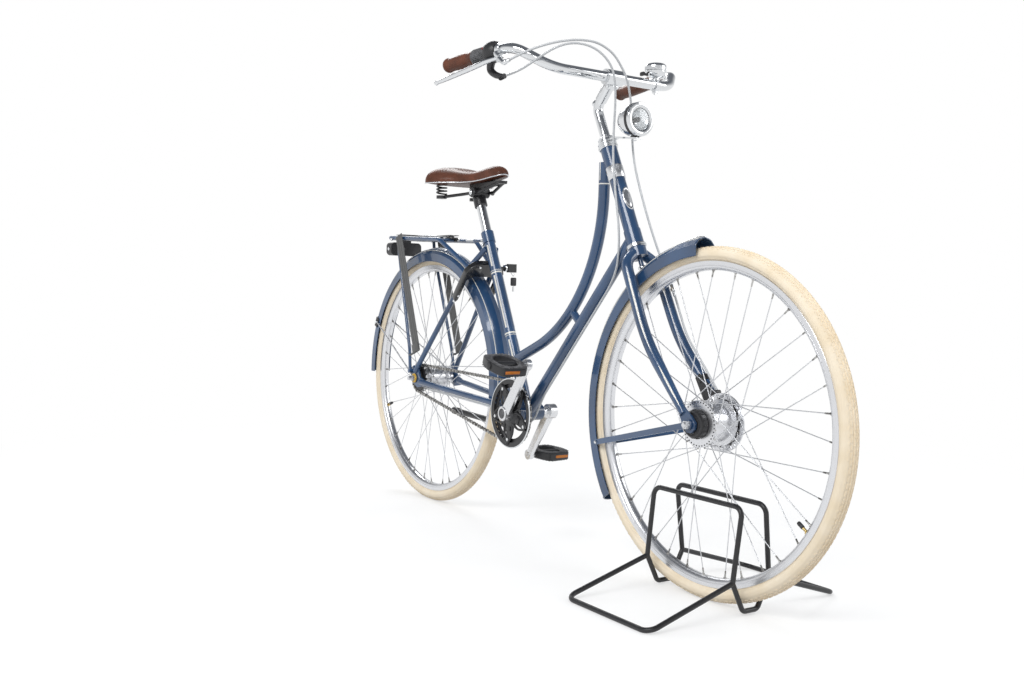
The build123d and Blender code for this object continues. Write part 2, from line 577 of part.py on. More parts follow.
# ---------------------------------------------------------------- fender stays
front_stay_way = vec(-317, 0, -78).normalized()
front_stay_reach = FENDER_RADIUS - FENDER_DEPTH - 0.545
FRONT_STAY_END = FRONT_AXLE + front_stay_way * front_stay_reach + vec(0, FENDER_HALF_WIDTH + 1.8, 0)
eye_ring = turned([(HUB_AXLE_RADIUS + SNUG, STAY_EYE_Y), (10, STAY_EYE_Y), (10, STAY_EYE_Y + STAY_THICKNESS),
                   (HUB_AXLE_RADIUS + SNUG, STAY_EYE_Y + STAY_THICKNESS)], FRONT_AXLE)
stay_start = FRONT_AXLE + vec(0, STAY_EYE_Y + STAY_THICKNESS / 2, 0)
stay_bar = flat_bar(stay_start, FRONT_STAY_END, 12, STAY_THICKNESS)
stay_bar = stay_bar - rod(FRONT_AXLE, FRONT_AXLE + vec(0, 90, 0), HUB_AXLE_RADIUS + SNUG)
stay_bar = stay_bar - slab([(point.X, point.Z) for point in end_corners], 0, STAY_EYE_Y - SLIP)
front_stay = eye_ring + stay_bar
save("front_fender_stays", *both_sides(front_stay))

rear_stay_way = vec(-312, 0, 146).normalized()
rear_stay_end = REAR_AXLE + rear_stay_way * (FENDER_RADIUS - 20.5294) + vec(0, FENDER_HALF_WIDTH + 2.7, 0)
rear_stay_foot = from_axle(REAR_AXLE, -20, DROPOUT_Y + DROPOUT_THICKNESS / 2 + 2.9, 13)
rear_stay = rod(rear_stay_foot, rear_stay_end, 2.2)
save("rear_fender_stays", *both_sides(rear_stay))

# ---------------------------------------------------------------- stem and handlebar
STEM_CORNER = 341.0
STEM_BEND = 24.0
STEM_RADIUS = 13.0
CLAMP_HALF_WIDTH = 22.0
bar_centre = vec(BAR_X, 0, BAR_HEIGHT)
stem_corner = on_steer(STEM_CORNER)
extension_way = (bar_centre - stem_corner).normalized()
bar_clamp = rod(bar_centre - vec(0, CLAMP_HALF_WIDTH, 0), bar_centre + vec(0, CLAMP_HALF_WIDTH, 0), 17)
bar_clear = rod(bar_centre - vec(0, 60, 0), bar_centre + vec(0, 60, 0), BAR_RADIUS + SNUG)
stem = joined(
    bent_rod([on_steer(172), stem_corner, bar_centre], [STEM_BEND], QUILL_RADIUS),
    rod(stem_corner + extension_way * 20, bar_centre, STEM_RADIUS),
    bar_clamp)
save("stem", stem - bar_clear)

grip_end = from_bar(-280, 252, 37)
bar_corner = from_bar(-60, 224, 45)
bar_side = from_bar(0, BAR_BEND_Y, 0)


def other_side(point):
    return vec(point.X, -point.Y, point.Z)


bar_points = [grip_end, bar_corner, bar_side,
              other_side(bar_side), other_side(bar_corner), other_side(grip_end)]
save("handlebar", bent_rod(bar_points, [60, 70, 70, 60], BAR_RADIUS))

GRIP_RADIUS = 15.0
grip_way = (bar_corner - grip_end).normalized()
right_way = other_side(grip_way)


def on_right_grip(along):
    return other_side(grip_end) + right_way * along


def on_left_grip(along):
    return grip_end + grip_way * along


def sleeve(place, first, last, radius):
    """Tube round one of the handlebar's straight ends."""
    return rod(place(first), place(last), radius) - rod(place(-0.2), place(200), BAR_RADIUS + SNUG)


left_grip = sleeve(on_left_grip, -4, 130, GRIP_RADIUS)
right_grip = sleeve(on_right_grip, -4, 95, GRIP_RADIUS)
save("grips", left_grip, right_grip)
twist_grip = sleeve(on_right_grip, 95.5, 141, GRIP_RADIUS + 0.5)
shifter_body = sleeve(on_right_grip, 140, 176, 20)
SHIFT_CABLE_START = from_bar(-89, -219, -10)
boot_way = vec(38, 5, 3).normalized()
boot = joined(rod(SHIFT_CABLE_START - boot_way * 64 + vec(0, 0, 14), SHIFT_CABLE_START - boot_way * 6, 8, 4.5),
              rod(SHIFT_CABLE_START - boot_way * 7, SHIFT_CABLE_START - boot_way * SNUG, 4.5))
boot_neck = rod(on_right_grip(150) - vec(0, 0, 12), SHIFT_CABLE_START - boot_way * 50 + vec(0, 0, 8), 7)
save("shifter", joined(twist_grip, shifter_body, boot, boot_neck - sleeve(on_right_grip, 100, 180, 19)
                       - rod(on_right_grip(120), on_right_grip(200), BAR_RADIUS + SNUG)))

lever_clamp = sleeve(on_right_grip, 176.5, 190, 15.5)
lever_pivot = from_bar(-90, -241, 25)
lever_blade = bent_rod([lever_pivot, from_bar(-137, -259, 12), from_bar(-287, -281, -5)], [60], 5.5)
lever_body = rod(on_right_grip(183) + vec(4, -8, -9), lever_pivot, 8.5)
CABLE_RADIUS = 2.4
BRAKE_CABLE_START = from_bar(-51, -237, 14)
brake_cable_way = vec(38, 22, 17).normalized()
adjuster_foot = BRAKE_CABLE_START - brake_cable_way * 18
adjuster = rod(adjuster_foot, BRAKE_CABLE_START - brake_cable_way * SNUG, 4)
lever = joined(lever_clamp, lever_body - rod(on_right_grip(150), on_right_grip(200), 15), lever_blade,
               rod(lever_pivot, adjuster_foot, 4.5), adjuster)
save("brake_lever", lever)

BELL_Y = 122.0
BELL_RADIUS = 24.0
bell_foot = from_bar(0, BELL_Y, 0)
bell_band = rod(bell_foot - vec(0, 6, 0), bell_foot + vec(0, 6, 0), BAR_RADIUS + 3)
bell_shape = [(0, 10), (7, 10), (7, 17), (BELL_RADIUS, 17), (BELL_RADIUS, 27), (21, 37), (14, 45), (6, 49),
              (0, 49)]
bell_dome = turned(bell_shape, bell_foot, (0, 0, 1))
bell_lever = rod(bell_foot + vec(0, 0, 19), bell_foot + vec(-6, -34, 19), 3)
bar_here = rod(bell_foot - vec(0, 20, 0), bell_foot + vec(0, 20, 0), BAR_RADIUS + SNUG)
save("bell", joined(bell_dome, bell_band, bell_lever) - bar_here)

# ---------------------------------------------------------------- headlamp
LAMP_RADIUS = 36.0
LAMP_AHEAD_OF_BAR = 99.0
LAMP_BELOW_BAR = 101.0
lamp_face = from_bar(LAMP_AHEAD_OF_BAR, 0, -LAMP_BELOW_BAR)
strap_shape = [(-104, -37), (-81, -32), (-6, -42), (-6, -38.5), (-80, -28.5), (-106, -31)]
strap = slab([(lamp_face.X + ahead, lamp_face.Z + rise) for ahead, rise in strap_shape], -8, 8)
lamp_ring = turned(collar(STEERER_RADIUS + SNUG, 19, HEAD_LENGTH + 16, HEAD_LENGTH + 20), HEAD_FOOT, STEER_UP)
strap_tail = strap - rod(on_steer(HEAD_LENGTH), on_steer(HEAD_LENGTH + 16), 21)
strap_tail = strap_tail - rod(on_steer(HEAD_LENGTH + 20), on_steer(HEAD_LENGTH + 60), 18)
strap_tail = strap_tail - rod(on_steer(HEAD_LENGTH), on_steer(HEAD_LENGTH + 60), STEERER_RADIUS + 2)
save("lamp_bracket", lamp_ring + strap_tail)

lamp_shape = [(0, -64), (8, -64), (9, -57), (20, -54), (31, -40), (LAMP_RADIUS, -20), (LAMP_RADIUS, -2),
              (33, 0), (0, 0)]
lamp_body = turned(lamp_shape, lamp_face, (1, 0, 0))
lamp_foot = rod(lamp_face + vec(-20, 0, -38.5), lamp_face + vec(-20, 0, -20), 7)
save("headlamp", joined(lamp_body, lamp_foot) - strap)

# ---------------------------------------------------------------- cranks, chainring and pedals
BOSS_LOW, BOSS_HIGH = 57.0, 77.0
EYE_LOW, EYE_HIGH = 80.0, 92.0
PEDAL_LOW = 104.0
SPINDLE_RADIUS = 4.5
arms = []
for side in (1, -1):
    low_point = crank_point(side, 6, side * (BOSS_LOW + BOSS_HIGH) / 2)
    high_point = crank_point(side, CRANK_LENGTH - 5, side * (EYE_LOW + EYE_HIGH) / 2)
    way = (high_point - low_point).normalized()
    across = vec(0, 1, 0) - way * way.Y
    thick = Plane(origin=low_point, x_dir=across, z_dir=way) * RectangleRounded(17, 30, 6)
    thin = Plane(origin=high_point, x_dir=across, z_dir=way) * RectangleRounded(11.5, 23, 4.5)
    eye = crank_point(side, CRANK_LENGTH, 0)
    arms.append(loft([thick, thin]))
    arms.append(rod(BRACKET + vec(0, side * BOSS_LOW, 0), BRACKET + vec(0, side * BOSS_HIGH, 0), 18))
    arms.append(rod(eye + vec(0, side * EYE_LOW, 0), eye + vec(0, side * EYE_HIGH, 0), 13))
    arms.append(rod(eye + vec(0, side * EYE_HIGH, 0), eye + vec(0, side * (PEDAL_LOW + PEDAL_WIDTH - 8), 0),
                    SPINDLE_RADIUS))
crank_axle = rod(BRACKET - vec(0, BOSS_LOW, 0), BRACKET + vec(0, BOSS_LOW, 0), AXLE_RADIUS)
save("cranks", joined(crank_axle, *arms))

RING_INNER = 62.0
ring_plate = toothed_plate(BRACKET, RING_TEETH, RING_INNER)
spider_low, spider_high = -BOSS_LOW + 0.2, -CHAIN_LINE - SPROCKET_HALF
spider = turned([(AXLE_RADIUS + SNUG, spider_low), (24, spider_low), (24, spider_high),
                 (AXLE_RADIUS + SNUG, spider_high)], BRACKET)
for arm in range(5):
    angle = radians(CRANK_ANGLE + 72 * arm)
    way = vec(cos(angle), 0, sin(angle))
    side_way = vec(-sin(angle), 0, cos(angle))
    corners = [BRACKET + way * 16 + side_way * 13, BRACKET + way * 69 + side_way * 7,
               BRACKET + way * 69 - side_way * 7, BRACKET + way * 16 - side_way * 13]
    spider = spider + slab([(point.X, point.Z) for point in corners], spider_high - 5, spider_high + 1)
spider = spider - rod(BRACKET - vec(0, 90, 0), BRACKET, AXLE_RADIUS + SNUG)
save("chainring", ring_plate + spider)

# each pedal is a six-sided block with an oval opening that its barrel crosses, resting a little nose down
PEDAL_FACE = 66.0
PEDAL_WAIST = 28.0
PEDAL_OPENING = (66.0, 54.0)
PEDAL_BARREL_RADIUS = 9.5
for name, side in (("right", -1), ("left", 1)):
    eye = crank_point(side, CRANK_LENGTH, 0)
    middle = eye + vec(0, side * (PEDAL_LOW + PEDAL_WIDTH / 2), 0)
    half_length, half_width = PEDAL_LENGTH / 2, PEDAL_WIDTH / 2
    quarter = [(half_length, PEDAL_FACE / 2), (PEDAL_WAIST / 2, half_width)]
    front_left = quarter + [(-x, y) for x, y in quarter[::-1]]
    outline = front_left + [(x, -y) for x, y in front_left[::-1]]
    block = extrude(make_face(Polyline(*outline, close=True)), PEDAL_HEIGHT / 2, both=True)
    opening = extrude(Ellipse(PEDAL_OPENING[0] / 2, PEDAL_OPENING[1] / 2), PEDAL_HEIGHT, both=True)
    inner_end = eye + vec(0, side * (PEDAL_LOW - 1), 0)
    outer_end = eye + vec(0, side * (PEDAL_LOW + PEDAL_WIDTH - 7), 0)
    barrel = rod(inner_end + vec(0, side * 2, 0), outer_end + vec(0, side * 2, 0), PEDAL_BARREL_RADIUS)
    pedal = joined(Pos(*middle) * (block - opening), barrel) - rod(inner_end, outer_end, SPINDLE_RADIUS + SLIP)
    save(f"pedal_{name}", pedal.rotate(Axis(eye, (0, 1, 0)), PEDAL_TILTS[name]))

# ---------------------------------------------------------------- chain
PLATE_HALF_HEIGHT = 4.2
PLATE_INNER = 1.9
PLATE_OUTER = 3.1
ring_pitch = pitch_radius(RING_TEETH)
sprocket_pitch = pitch_radius(SPROCKET_TEETH)
run_way = BRACKET - REAR_AXLE
run_length = run_way.length
run_angle = atan2(run_way.Z, run_way.X)
lean = acos((ring_pitch - sprocket_pitch) / run_length)


def belt(offset, low, high):
    """Solid loop round the chainring and sprocket, offset outward from the pitch line."""
    ends = []
    for turn in (lean, -lean):
        normal = vec(cos(run_angle + turn), 0, sin(run_angle + turn))
        ends.append((BRACKET + normal * (ring_pitch + offset),
                     REAR_AXLE + normal * (sprocket_pitch + offset)))
    corners = [ends[0][0], ends[0][1], ends[1][1], ends[1][0]]
    middle = slab([(point.X, point.Z) for point in corners], low, high)
    front = rod(BRACKET + vec(0, low, 0), BRACKET + vec(0, high, 0), ring_pitch + offset)
    back = rod(REAR_AXLE + vec(0, low, 0), REAR_AXLE + vec(0, high, 0), sprocket_pitch + offset)
    return joined(middle, front, back)


def chain_plate(low, high):
    return belt(PLATE_HALF_HEIGHT, low, high) - belt(-PLATE_HALF_HEIGHT, low - 1, high + 1)


chain = [chain_plate(-CHAIN_LINE + PLATE_INNER, -CHAIN_LINE + PLATE_OUTER),
         chain_plate(-CHAIN_LINE - PLATE_OUTER, -CHAIN_LINE - PLATE_INNER)]
ROLLERS_SHOWN = 1
plate_reach = vec(0, PLATE_OUTER, 0)
for turn in (lean, -lean):
    normal = vec(cos(run_angle + turn), 0, sin(run_angle + turn))
    near = REAR_AXLE + normal * sprocket_pitch
    far = BRACKET + normal * ring_pitch
    for step in range(1, ROLLERS_SHOWN + 1):
        place = near + (far - near) * (step / (ROLLERS_SHOWN + 1)) - vec(0, CHAIN_LINE, 0)
        chain.append(rod(place - plate_reach, place + plate_reach, 3.2))
save("chain", joined(*chain))


# ---------------------------------------------------------------- carrier
def on_rail(x, side=0.0):
    """Point on the carrier's top rails at a distance ahead of the rear axle."""
    share = (x - CARRIER_TAIL_X) / (CARRIER_BEND_X - CARRIER_TAIL_X)
    return vec(x, side, CARRIER_TAIL_Z + (CARRIER_BEND_Z - CARRIER_TAIL_Z) * share)


CARRIER_TAB = SEATSTAY_KNEE + vec(-4, 1, -5)
CROSS_BARS = (-150.0, -60.0, 30.0, 100.0)
stays_solid = seat_stays[0] + seat_stays[1]
rail_bend = on_rail(CARRIER_BEND_X, CARRIER_HALF_WIDTH)
rail_tail = on_rail(CARRIER_TAIL_X, CARRIER_HALF_WIDTH)
rail_points = [CARRIER_TAB, rail_bend, rail_tail,
               other_side(rail_tail), other_side(rail_bend), other_side(CARRIER_TAB)]
rails = bent_rod(rail_points, [45, 25, 25, 45], CARRIER_TUBE)
cross_bars = [rod(on_rail(x, -CARRIER_HALF_WIDTH + 1), on_rail(x, CARRIER_HALF_WIDTH - 1), 4) for x in CROSS_BARS]
front_link = rod(on_rail(CROSS_BARS[-1]), vec(on_seat(SEAT_TUBE_LENGTH - 25).X, 0, CARRIER_BEND_Z - 5), 4)
save("carrier_platform", joined(rails, *cross_bars, front_link) - stays_solid - seat_bar - seat_lug)

LEG_RADIUS = 4.5
LEG_TOP_X = -124.0
leg_foot = from_axle(REAR_AXLE, -14, DROPOUT_Y + DROPOUT_THICKNESS / 2 + 8, 19)
leg_knee = from_axle(REAR_AXLE, -24, 68, 79)
leg_head = vec(LEG_TOP_X + 6, CARRIER_HALF_WIDTH, CARRIER_TAIL_Z - 42)
leg = joined(
    bent_rod([leg_foot, leg_knee, leg_head, on_rail(LEG_TOP_X, CARRIER_HALF_WIDTH)], [120, 60], LEG_RADIUS),
    rod(vec(leg_foot.X, DROPOUT_Y + DROPOUT_THICKNESS / 2 + SNUG, leg_foot.Z), leg_foot + vec(0, 5, 0), 5.5))
save("carrier_legs", *both_sides(leg - rails))

STRAP_WIDTH = 36.0
STRAP_THICKNESS = 2.0
STRAP_X = -104.0
STRAP_FOOT = from_axle(REAR_AXLE, 18, 70.5, 75)
strap_side_y = CARRIER_HALF_WIDTH + CARRIER_TUBE + SLIP + STRAP_THICKNESS / 2
strap_top = on_rail(STRAP_X, strap_side_y) + vec(0, 0, 8)
band = flat_bar(STRAP_FOOT, strap_top, STRAP_WIDTH, STRAP_THICKNESS)
over_low = on_rail(STRAP_X).Z + CARRIER_TUBE + 1.3
over_length = 2 * strap_side_y + STRAP_THICKNESS
over = Pos(STRAP_X, 0, over_low + STRAP_THICKNESS / 2) * Box(STRAP_WIDTH, over_length, STRAP_THICKNESS)
forward_start = vec(STRAP_X, 0, over_low + 1)
forward_end = on_rail(CARRIER_BEND_X - 20) + vec(0, 0, CARRIER_TUBE + 2.3)
forward_band = flat_bar(forward_start, forward_end, STRAP_THICKNESS, 30)
hook = rod(STRAP_FOOT + vec(0, 0, 4), STRAP_FOOT + vec(-36, 0.5, -12), 2.5)
strap_side = joined(band, hook)
left_leg, right_leg = both_sides(leg)
save("carrier_straps", joined(*both_sides(strap_side), over, forward_band) - left_leg - right_leg)

LIGHT_LOW, LIGHT_HIGH = CARRIER_TAIL_Z - 50, CARRIER_TAIL_Z - 12
LIGHT_BACK, LIGHT_FRONT = CARRIER_TAIL_X - 24, CARRIER_TAIL_X + 6
light_case = Pos((LIGHT_BACK + LIGHT_FRONT) / 2, 0, (LIGHT_LOW + LIGHT_HIGH) / 2) * Box(
    LIGHT_FRONT - LIGHT_BACK, 100, LIGHT_HIGH - LIGHT_LOW)
light_case = fillet(light_case.edges().filter_by(Axis.X), 12)
light_tab = Pos(CARRIER_TAIL_X, 0, LIGHT_HIGH + 3) * Box(14, 30, 12)
save("rear_light", joined(light_case, light_tab) - rails)

# ---------------------------------------------------------------- ring lock on the seat stays
STAY_WAY = vec(SEATSTAY_KNEE.X - SEATSTAY_FOOT.X, 0, SEATSTAY_KNEE.Z - SEATSTAY_FOOT.Z).normalized()
STAY_FRONT = vec(STAY_WAY.Z, 0, -STAY_WAY.X)
LOCK_FACE = -1.6
LOCK_THICKNESS = 17.0
LOCK_TOP = FENDER_RADIUS + 53
LOCK_FOOT = FENDER_RADIUS - 75
LOCK_ARCH = FENDER_RADIUS + 9
LOCK_HALF_WIDTH = 58.0
LOCK_SLOT = 46.0
lock_plane = Plane(origin=REAR_AXLE + STAY_FRONT * LOCK_FACE, x_dir=vec(0, 1, 0), z_dir=STAY_FRONT)
lock_up = 1 if lock_plane.y_dir.Z > 0 else -1
lock_outline = Polyline(*[(y, lock_up * reach) for y, reach in (
    (-LOCK_HALF_WIDTH, LOCK_FOOT), (-LOCK_HALF_WIDTH, LOCK_TOP - 30), (-40, LOCK_TOP - 6), (-20, LOCK_TOP),
    (20, LOCK_TOP), (40, LOCK_TOP - 6), (LOCK_HALF_WIDTH, LOCK_TOP - 30), (LOCK_HALF_WIDTH, LOCK_FOOT),
    (LOCK_SLOT, LOCK_FOOT), (LOCK_SLOT, LOCK_ARCH - 12), (30, LOCK_ARCH), (-30, LOCK_ARCH),
    (-LOCK_SLOT, LOCK_ARCH - 12), (-LOCK_SLOT, LOCK_FOOT))], close=True)
lock_body = lock_plane * extrude(make_face(lock_outline), LOCK_THICKNESS)
lock_clear = stays_solid + seat_bar + seat_lug
save("ring_lock", lock_body - lock_clear)

lock_middle = REAR_AXLE + STAY_FRONT * (LOCK_FACE + LOCK_THICKNESS / 2)
key_root = lock_middle + STAY_WAY * (LOCK_TOP - 16) + vec(0, LOCK_HALF_WIDTH - 14, 0)
key_way = vec(0, 1, 0)
key_blade = rod(key_root, key_root + key_way * 24, 3)
key_head = Pos(*(key_root + key_way * 36)) * Box(9, 26, 22)
save("lock_key", (key_head + key_blade) - lock_body)

# ---------------------------------------------------------------- kickstand, folded
STAND_HEAD = BRACKET + vec(-141, 42, -53)
STAND_AXIS = vec(0.290, -0.907, -0.305).normalized()
STAND_LENGTH = 287.0
STAND_RADIUS = 8.0
STAND_HEAD_RADIUS = 11.0
STAND_HEAD_HALF = 9.0
PIVOT_RADIUS = 4.0
CHEEK_THICKNESS = 5.0
folded_way = vec(-1, 0.014, 0.03).normalized()
stand_foot = STAND_HEAD + folded_way * STAND_LENGTH
head_half = STAND_AXIS * STAND_HEAD_HALF
leg_head = rod(STAND_HEAD - head_half, STAND_HEAD + head_half, STAND_HEAD_RADIUS)
leg_bar = rod(STAND_HEAD + folded_way * 6, stand_foot, STAND_RADIUS)
leg_shoe = rod(stand_foot - folded_way * 20, stand_foot + folded_way * 4, STAND_RADIUS + 2)
pivot_clear = rod(STAND_HEAD - STAND_AXIS * 20, STAND_HEAD + STAND_AXIS * 20, PIVOT_RADIUS + SNUG)
save("kickstand_leg", joined(leg_head, leg_bar, leg_shoe) - pivot_clear)

cheek_low = STAND_HEAD + STAND_AXIS * (STAND_HEAD_HALF + SLIP)
cheek_high = cheek_low + STAND_AXIS * CHEEK_THICKNESS
cheek_middle = (cheek_low + cheek_high) * 0.5
stay_line = (CHAINSTAY_HEAD - CHAINSTAY_FOOT).normalized()
sleeve_middle = CHAINSTAY_FOOT + stay_line * (round((CHAINSTAY_HEAD - CHAINSTAY_FOOT).length) - 70)
sleeve_under = sleeve_middle - STAND_AXIS * (sleeve_middle - cheek_middle).dot(STAND_AXIS)
hanger_way = (sleeve_under - cheek_middle).normalized()
hanger_plane = Plane(origin=cheek_middle, x_dir=STAND_AXIS, z_dir=hanger_way)
hanger = hanger_plane * Box(CHEEK_THICKNESS, 18, (sleeve_under - cheek_middle).length + 2,
                            align=(Align.CENTER, Align.CENTER, Align.MIN))
stay_sleeve = rod(sleeve_middle - stay_line * 12, sleeve_middle + stay_line * 12, CHAINSTAY_RADIUS + 5)
stand_bracket = joined(
    stay_sleeve, hanger,
    rod(cheek_low, cheek_high, STAND_HEAD_RADIUS + 1),
    rod(STAND_HEAD - STAND_AXIS * STAND_HEAD_HALF, cheek_high, PIVOT_RADIUS))
save("kickstand_bracket", stand_bracket - chain_stays[0])

# ---------------------------------------------------------------- display stand round the front wheel
HOOP_TOP_Z = 204.0
HOOP_TOP_Y = 31.0
JOINT_Y = 48.0
JOINT_Z = 65.0
FOOT_Y = 246.0
CROSS_Z = 8.4
rear_x, front_x = FRONT_AXLE.X - 115, FRONT_AXLE.X + 121
stand_pieces = []
for side in (1, -1):
    rear_joint, front_joint = vec(rear_x, side * JOINT_Y, JOINT_Z), vec(front_x, side * JOINT_Y, JOINT_Z)
    hoop_y, foot_y = side * HOOP_TOP_Y, side * FOOT_Y
    hoop = [rear_joint, vec(rear_x - 3, hoop_y, HOOP_TOP_Z), vec(front_x + 2, hoop_y, HOOP_TOP_Z), front_joint]
    foot = [rear_joint, vec(rear_x - 6, foot_y, STAND_ROD), vec(front_x - 4, foot_y, STAND_ROD), front_joint]
    stand_pieces += [bent_rod(hoop, [18, 18], STAND_ROD), bent_rod(foot, [22, 22], STAND_ROD),
                     Pos(*rear_joint) * Sphere(STAND_ROD), Pos(*front_joint) * Sphere(STAND_ROD)]
for x in (rear_x, front_x):
    cross_wire = [(x, JOINT_Y, JOINT_Z), (x, 19, CROSS_Z), (x, -19, CROSS_Z), (x, -JOINT_Y, JOINT_Z)]
    stand_pieces.append(bent_rod(cross_wire, [12, 12], STAND_ROD))
save("display_stand", joined(*stand_pieces))

# ---------------------------------------------------------------- cables
BEND_SHARE = 0.45


def cable(points, radius=CABLE_RADIUS):
    """Cable housing along straight runs, each corner's arc as large as its two runs allow."""
    points = [Vector(point) for point in points]
    bends = []
    for before, corner, after in zip(points, points[1:], points[2:]):
        turn = radians((corner - before).get_angle(after - corner))
        shorter = min((corner - before).length, (after - corner).length)
        bends.append(BEND_SHARE * shorter / (sin(turn / 2) / cos(turn / 2)))
    path = FilletPolyline(*points, radius=bends)
    start = Plane(origin=path @ 0, z_dir=path % 0)
    return sweep(start * Circle(radius), path=path)


brake_anchor = anchor_foot + end_way * (ANCHOR_RADIUS + SNUG) + vec(0, ANCHOR_Y, 0)
brake_cable = cable([
    BRAKE_CABLE_START,
    from_bar(-13, -215, 31), from_bar(23, -180, 45), from_bar(47, -138, 53), from_bar(58, -92, 53),
    from_bar(62, -50, 35), from_bar(58, -10, -7), from_bar(46, 14, -52), from_bar(31, 31, -97),
    from_bar(28, 37, -145), from_bar(40, 36, -195), from_bar(64, 36, -255), from_bar(91, 38, -319),
    from_bar(117, 45, -383),
    on_steer(-80, 50, 19), on_steer(-150, 51, 18), on_steer(-218, 51, 18),
    FRONT_AXLE + end_way * 132 + end_side * 19 + vec(0, 50, 0), brake_anchor])
save("brake_cable", brake_cable)

down_way = down_run.normalized()
under_way = vec(down_way.Z, 0, -down_way.X)


def under_tube(along, y):
    """Point beside the down tube's underside, where the cable lies against it."""
    return BRACKET + down_way * along + under_way * (DOWN_TUBE_RADIUS + CABLE_RADIUS + SLIP) + vec(0, y, 0)


# the steering bends the first length of the shift cable, down to a clip under the down tube
above_clip = from_bar(42, -10, -423)
clip_along = round(down_run.length) - 136
SHIFT_CLIP = (above_clip + under_tube(clip_along, -3)) * 0.5
shift_loop = cable([
    SHIFT_CABLE_START,
    from_bar(-51, -214, -7), from_bar(-5, -200, 13), from_bar(21, -176, 35), from_bar(41, -146, 47),
    from_bar(59, -110, 43), from_bar(70, -78, 23), from_bar(71, -54, -7), from_bar(53, -34, -59),
    from_bar(34, -22, -121), from_bar(35, -22, -187), from_bar(51, -25, -261), from_bar(66, -25, -331),
    from_bar(60, -19, -383),
    above_clip, SHIFT_CLIP])
save("shift_cable_loop", shift_loop)

shift_run = cable([
    SHIFT_CLIP, under_tube(clip_along, -3), under_tube(84, -3),
    BRACKET + vec(33, -8, -22), BRACKET + vec(-19, -20, -27), BRACKET + vec(-72, -31, -0.5),
    from_axle(REAR_AXLE, 100, -54.6, -26), from_axle(REAR_AXLE, 58, -55, -22.5),
    from_axle(REAR_AXLE, 19.6, -54.8, -19.2)])
save("shift_cable_frame", shift_run)
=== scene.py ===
import bmesh
import bpy
import math
from mathutils import Matrix, Vector


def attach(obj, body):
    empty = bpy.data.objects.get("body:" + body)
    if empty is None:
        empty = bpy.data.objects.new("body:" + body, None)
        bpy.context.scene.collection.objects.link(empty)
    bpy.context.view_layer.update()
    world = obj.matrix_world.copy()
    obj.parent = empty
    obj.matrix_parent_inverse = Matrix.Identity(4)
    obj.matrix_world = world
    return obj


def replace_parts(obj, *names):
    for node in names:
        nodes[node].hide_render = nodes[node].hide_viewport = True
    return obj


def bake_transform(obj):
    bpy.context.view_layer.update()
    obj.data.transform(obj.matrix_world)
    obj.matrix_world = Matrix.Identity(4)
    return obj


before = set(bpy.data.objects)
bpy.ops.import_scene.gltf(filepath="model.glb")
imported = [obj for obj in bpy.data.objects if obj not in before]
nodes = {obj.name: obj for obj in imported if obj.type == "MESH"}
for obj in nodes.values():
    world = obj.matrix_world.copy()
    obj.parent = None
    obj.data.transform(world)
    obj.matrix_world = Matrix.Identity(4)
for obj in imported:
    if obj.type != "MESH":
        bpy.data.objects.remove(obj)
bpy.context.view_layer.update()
scene = bpy.context.scene

# -------------------------------- places, in metres
# at() takes millimetres from a point on the floor under the rear axle: ahead, to the left, up.
REAR_AXLE_X = -0.533
STEER_TILT = math.radians(64.5)
SEAT_TILT = math.radians(65.0)


def at(ahead, left, up):
    return Vector((REAR_AXLE_X + ahead / 1000, left / 1000, up / 1000))


REAR_AXLE = at(0, 0, 345)
FRONT_AXLE = at(1086, 0, 345)
BRACKET = at(467, 0, 298)
STEER_UP = Vector((-math.cos(STEER_TILT), 0, math.sin(STEER_TILT)))
STEER_AHEAD = Vector((math.sin(STEER_TILT), 0, math.cos(STEER_TILT)))
HEAD_FOOT = FRONT_AXLE - STEER_AHEAD * 0.061 + STEER_UP * 0.419
SEAT_UP = Vector((-math.cos(SEAT_TILT), 0, math.sin(SEAT_TILT)))
SEAT_AHEAD = Vector((math.sin(SEAT_TILT), 0, math.cos(SEAT_TILT)))
AHEAD = Vector((1, 0, 0))
LEFT = Vector((0, 1, 0))
UP = Vector((0, 0, 1))


def on_steer(height, left=0.0, ahead=0.0):
    """Millimetres above the head tube's foot, along the steering axis."""
    return HEAD_FOOT + STEER_UP * height / 1000 + LEFT * left / 1000 + STEER_AHEAD * ahead / 1000


def on_seat(height, left=0.0, ahead=0.0):
    """Millimetres above the bottom bracket, along the seat tube."""
    return BRACKET + SEAT_UP * height / 1000 + LEFT * left / 1000 + SEAT_AHEAD * ahead / 1000


# -------------------------------- materials
def linear(code):
    """The linear colour of an sRGB hex value."""
    parts = [int(code[place:place + 2], 16) / 255 for place in (1, 3, 5)]
    return [part / 12.92 if part <= 0.04045 else ((part + 0.055) / 1.055) ** 2.4 for part in parts] + [1.0]


def add(tree, kind, links={}, values={}, **settings):
    """Adds one node with its own settings, the sockets that feed it and its plain values."""
    node = tree.nodes.new("ShaderNode" + kind)
    for name, value in settings.items():
        setattr(node, name, value)
    for socket, value in values.items():
        node.inputs[socket].default_value = value
    for socket, source in links.items():
        tree.links.new(source, node.inputs[socket])
    return node


def new_material(name):
    """An empty material and its node tree."""
    material = bpy.data.materials.new(name)
    material.use_nodes = True
    material.node_tree.nodes.clear()
    return material, material.node_tree


def pattern(tree, kind, scale, values={}, settings={}):
    """A texture on object coordinates; scale is its turns in a metre."""
    place = add(tree, "TexCoord")
    texture = add(tree, kind, {"Vector": place.outputs["Object"]}, {"Scale": scale, **values}, **settings)
    return texture.outputs["Distance" if kind == "TexVoronoi" else "Fac"]


def noise(scale, detail=2.0, **values):
    """What pattern() needs for a noise: its scale and how many finer layers lie over it."""
    return "TexNoise", scale, {"Detail": detail, **values}


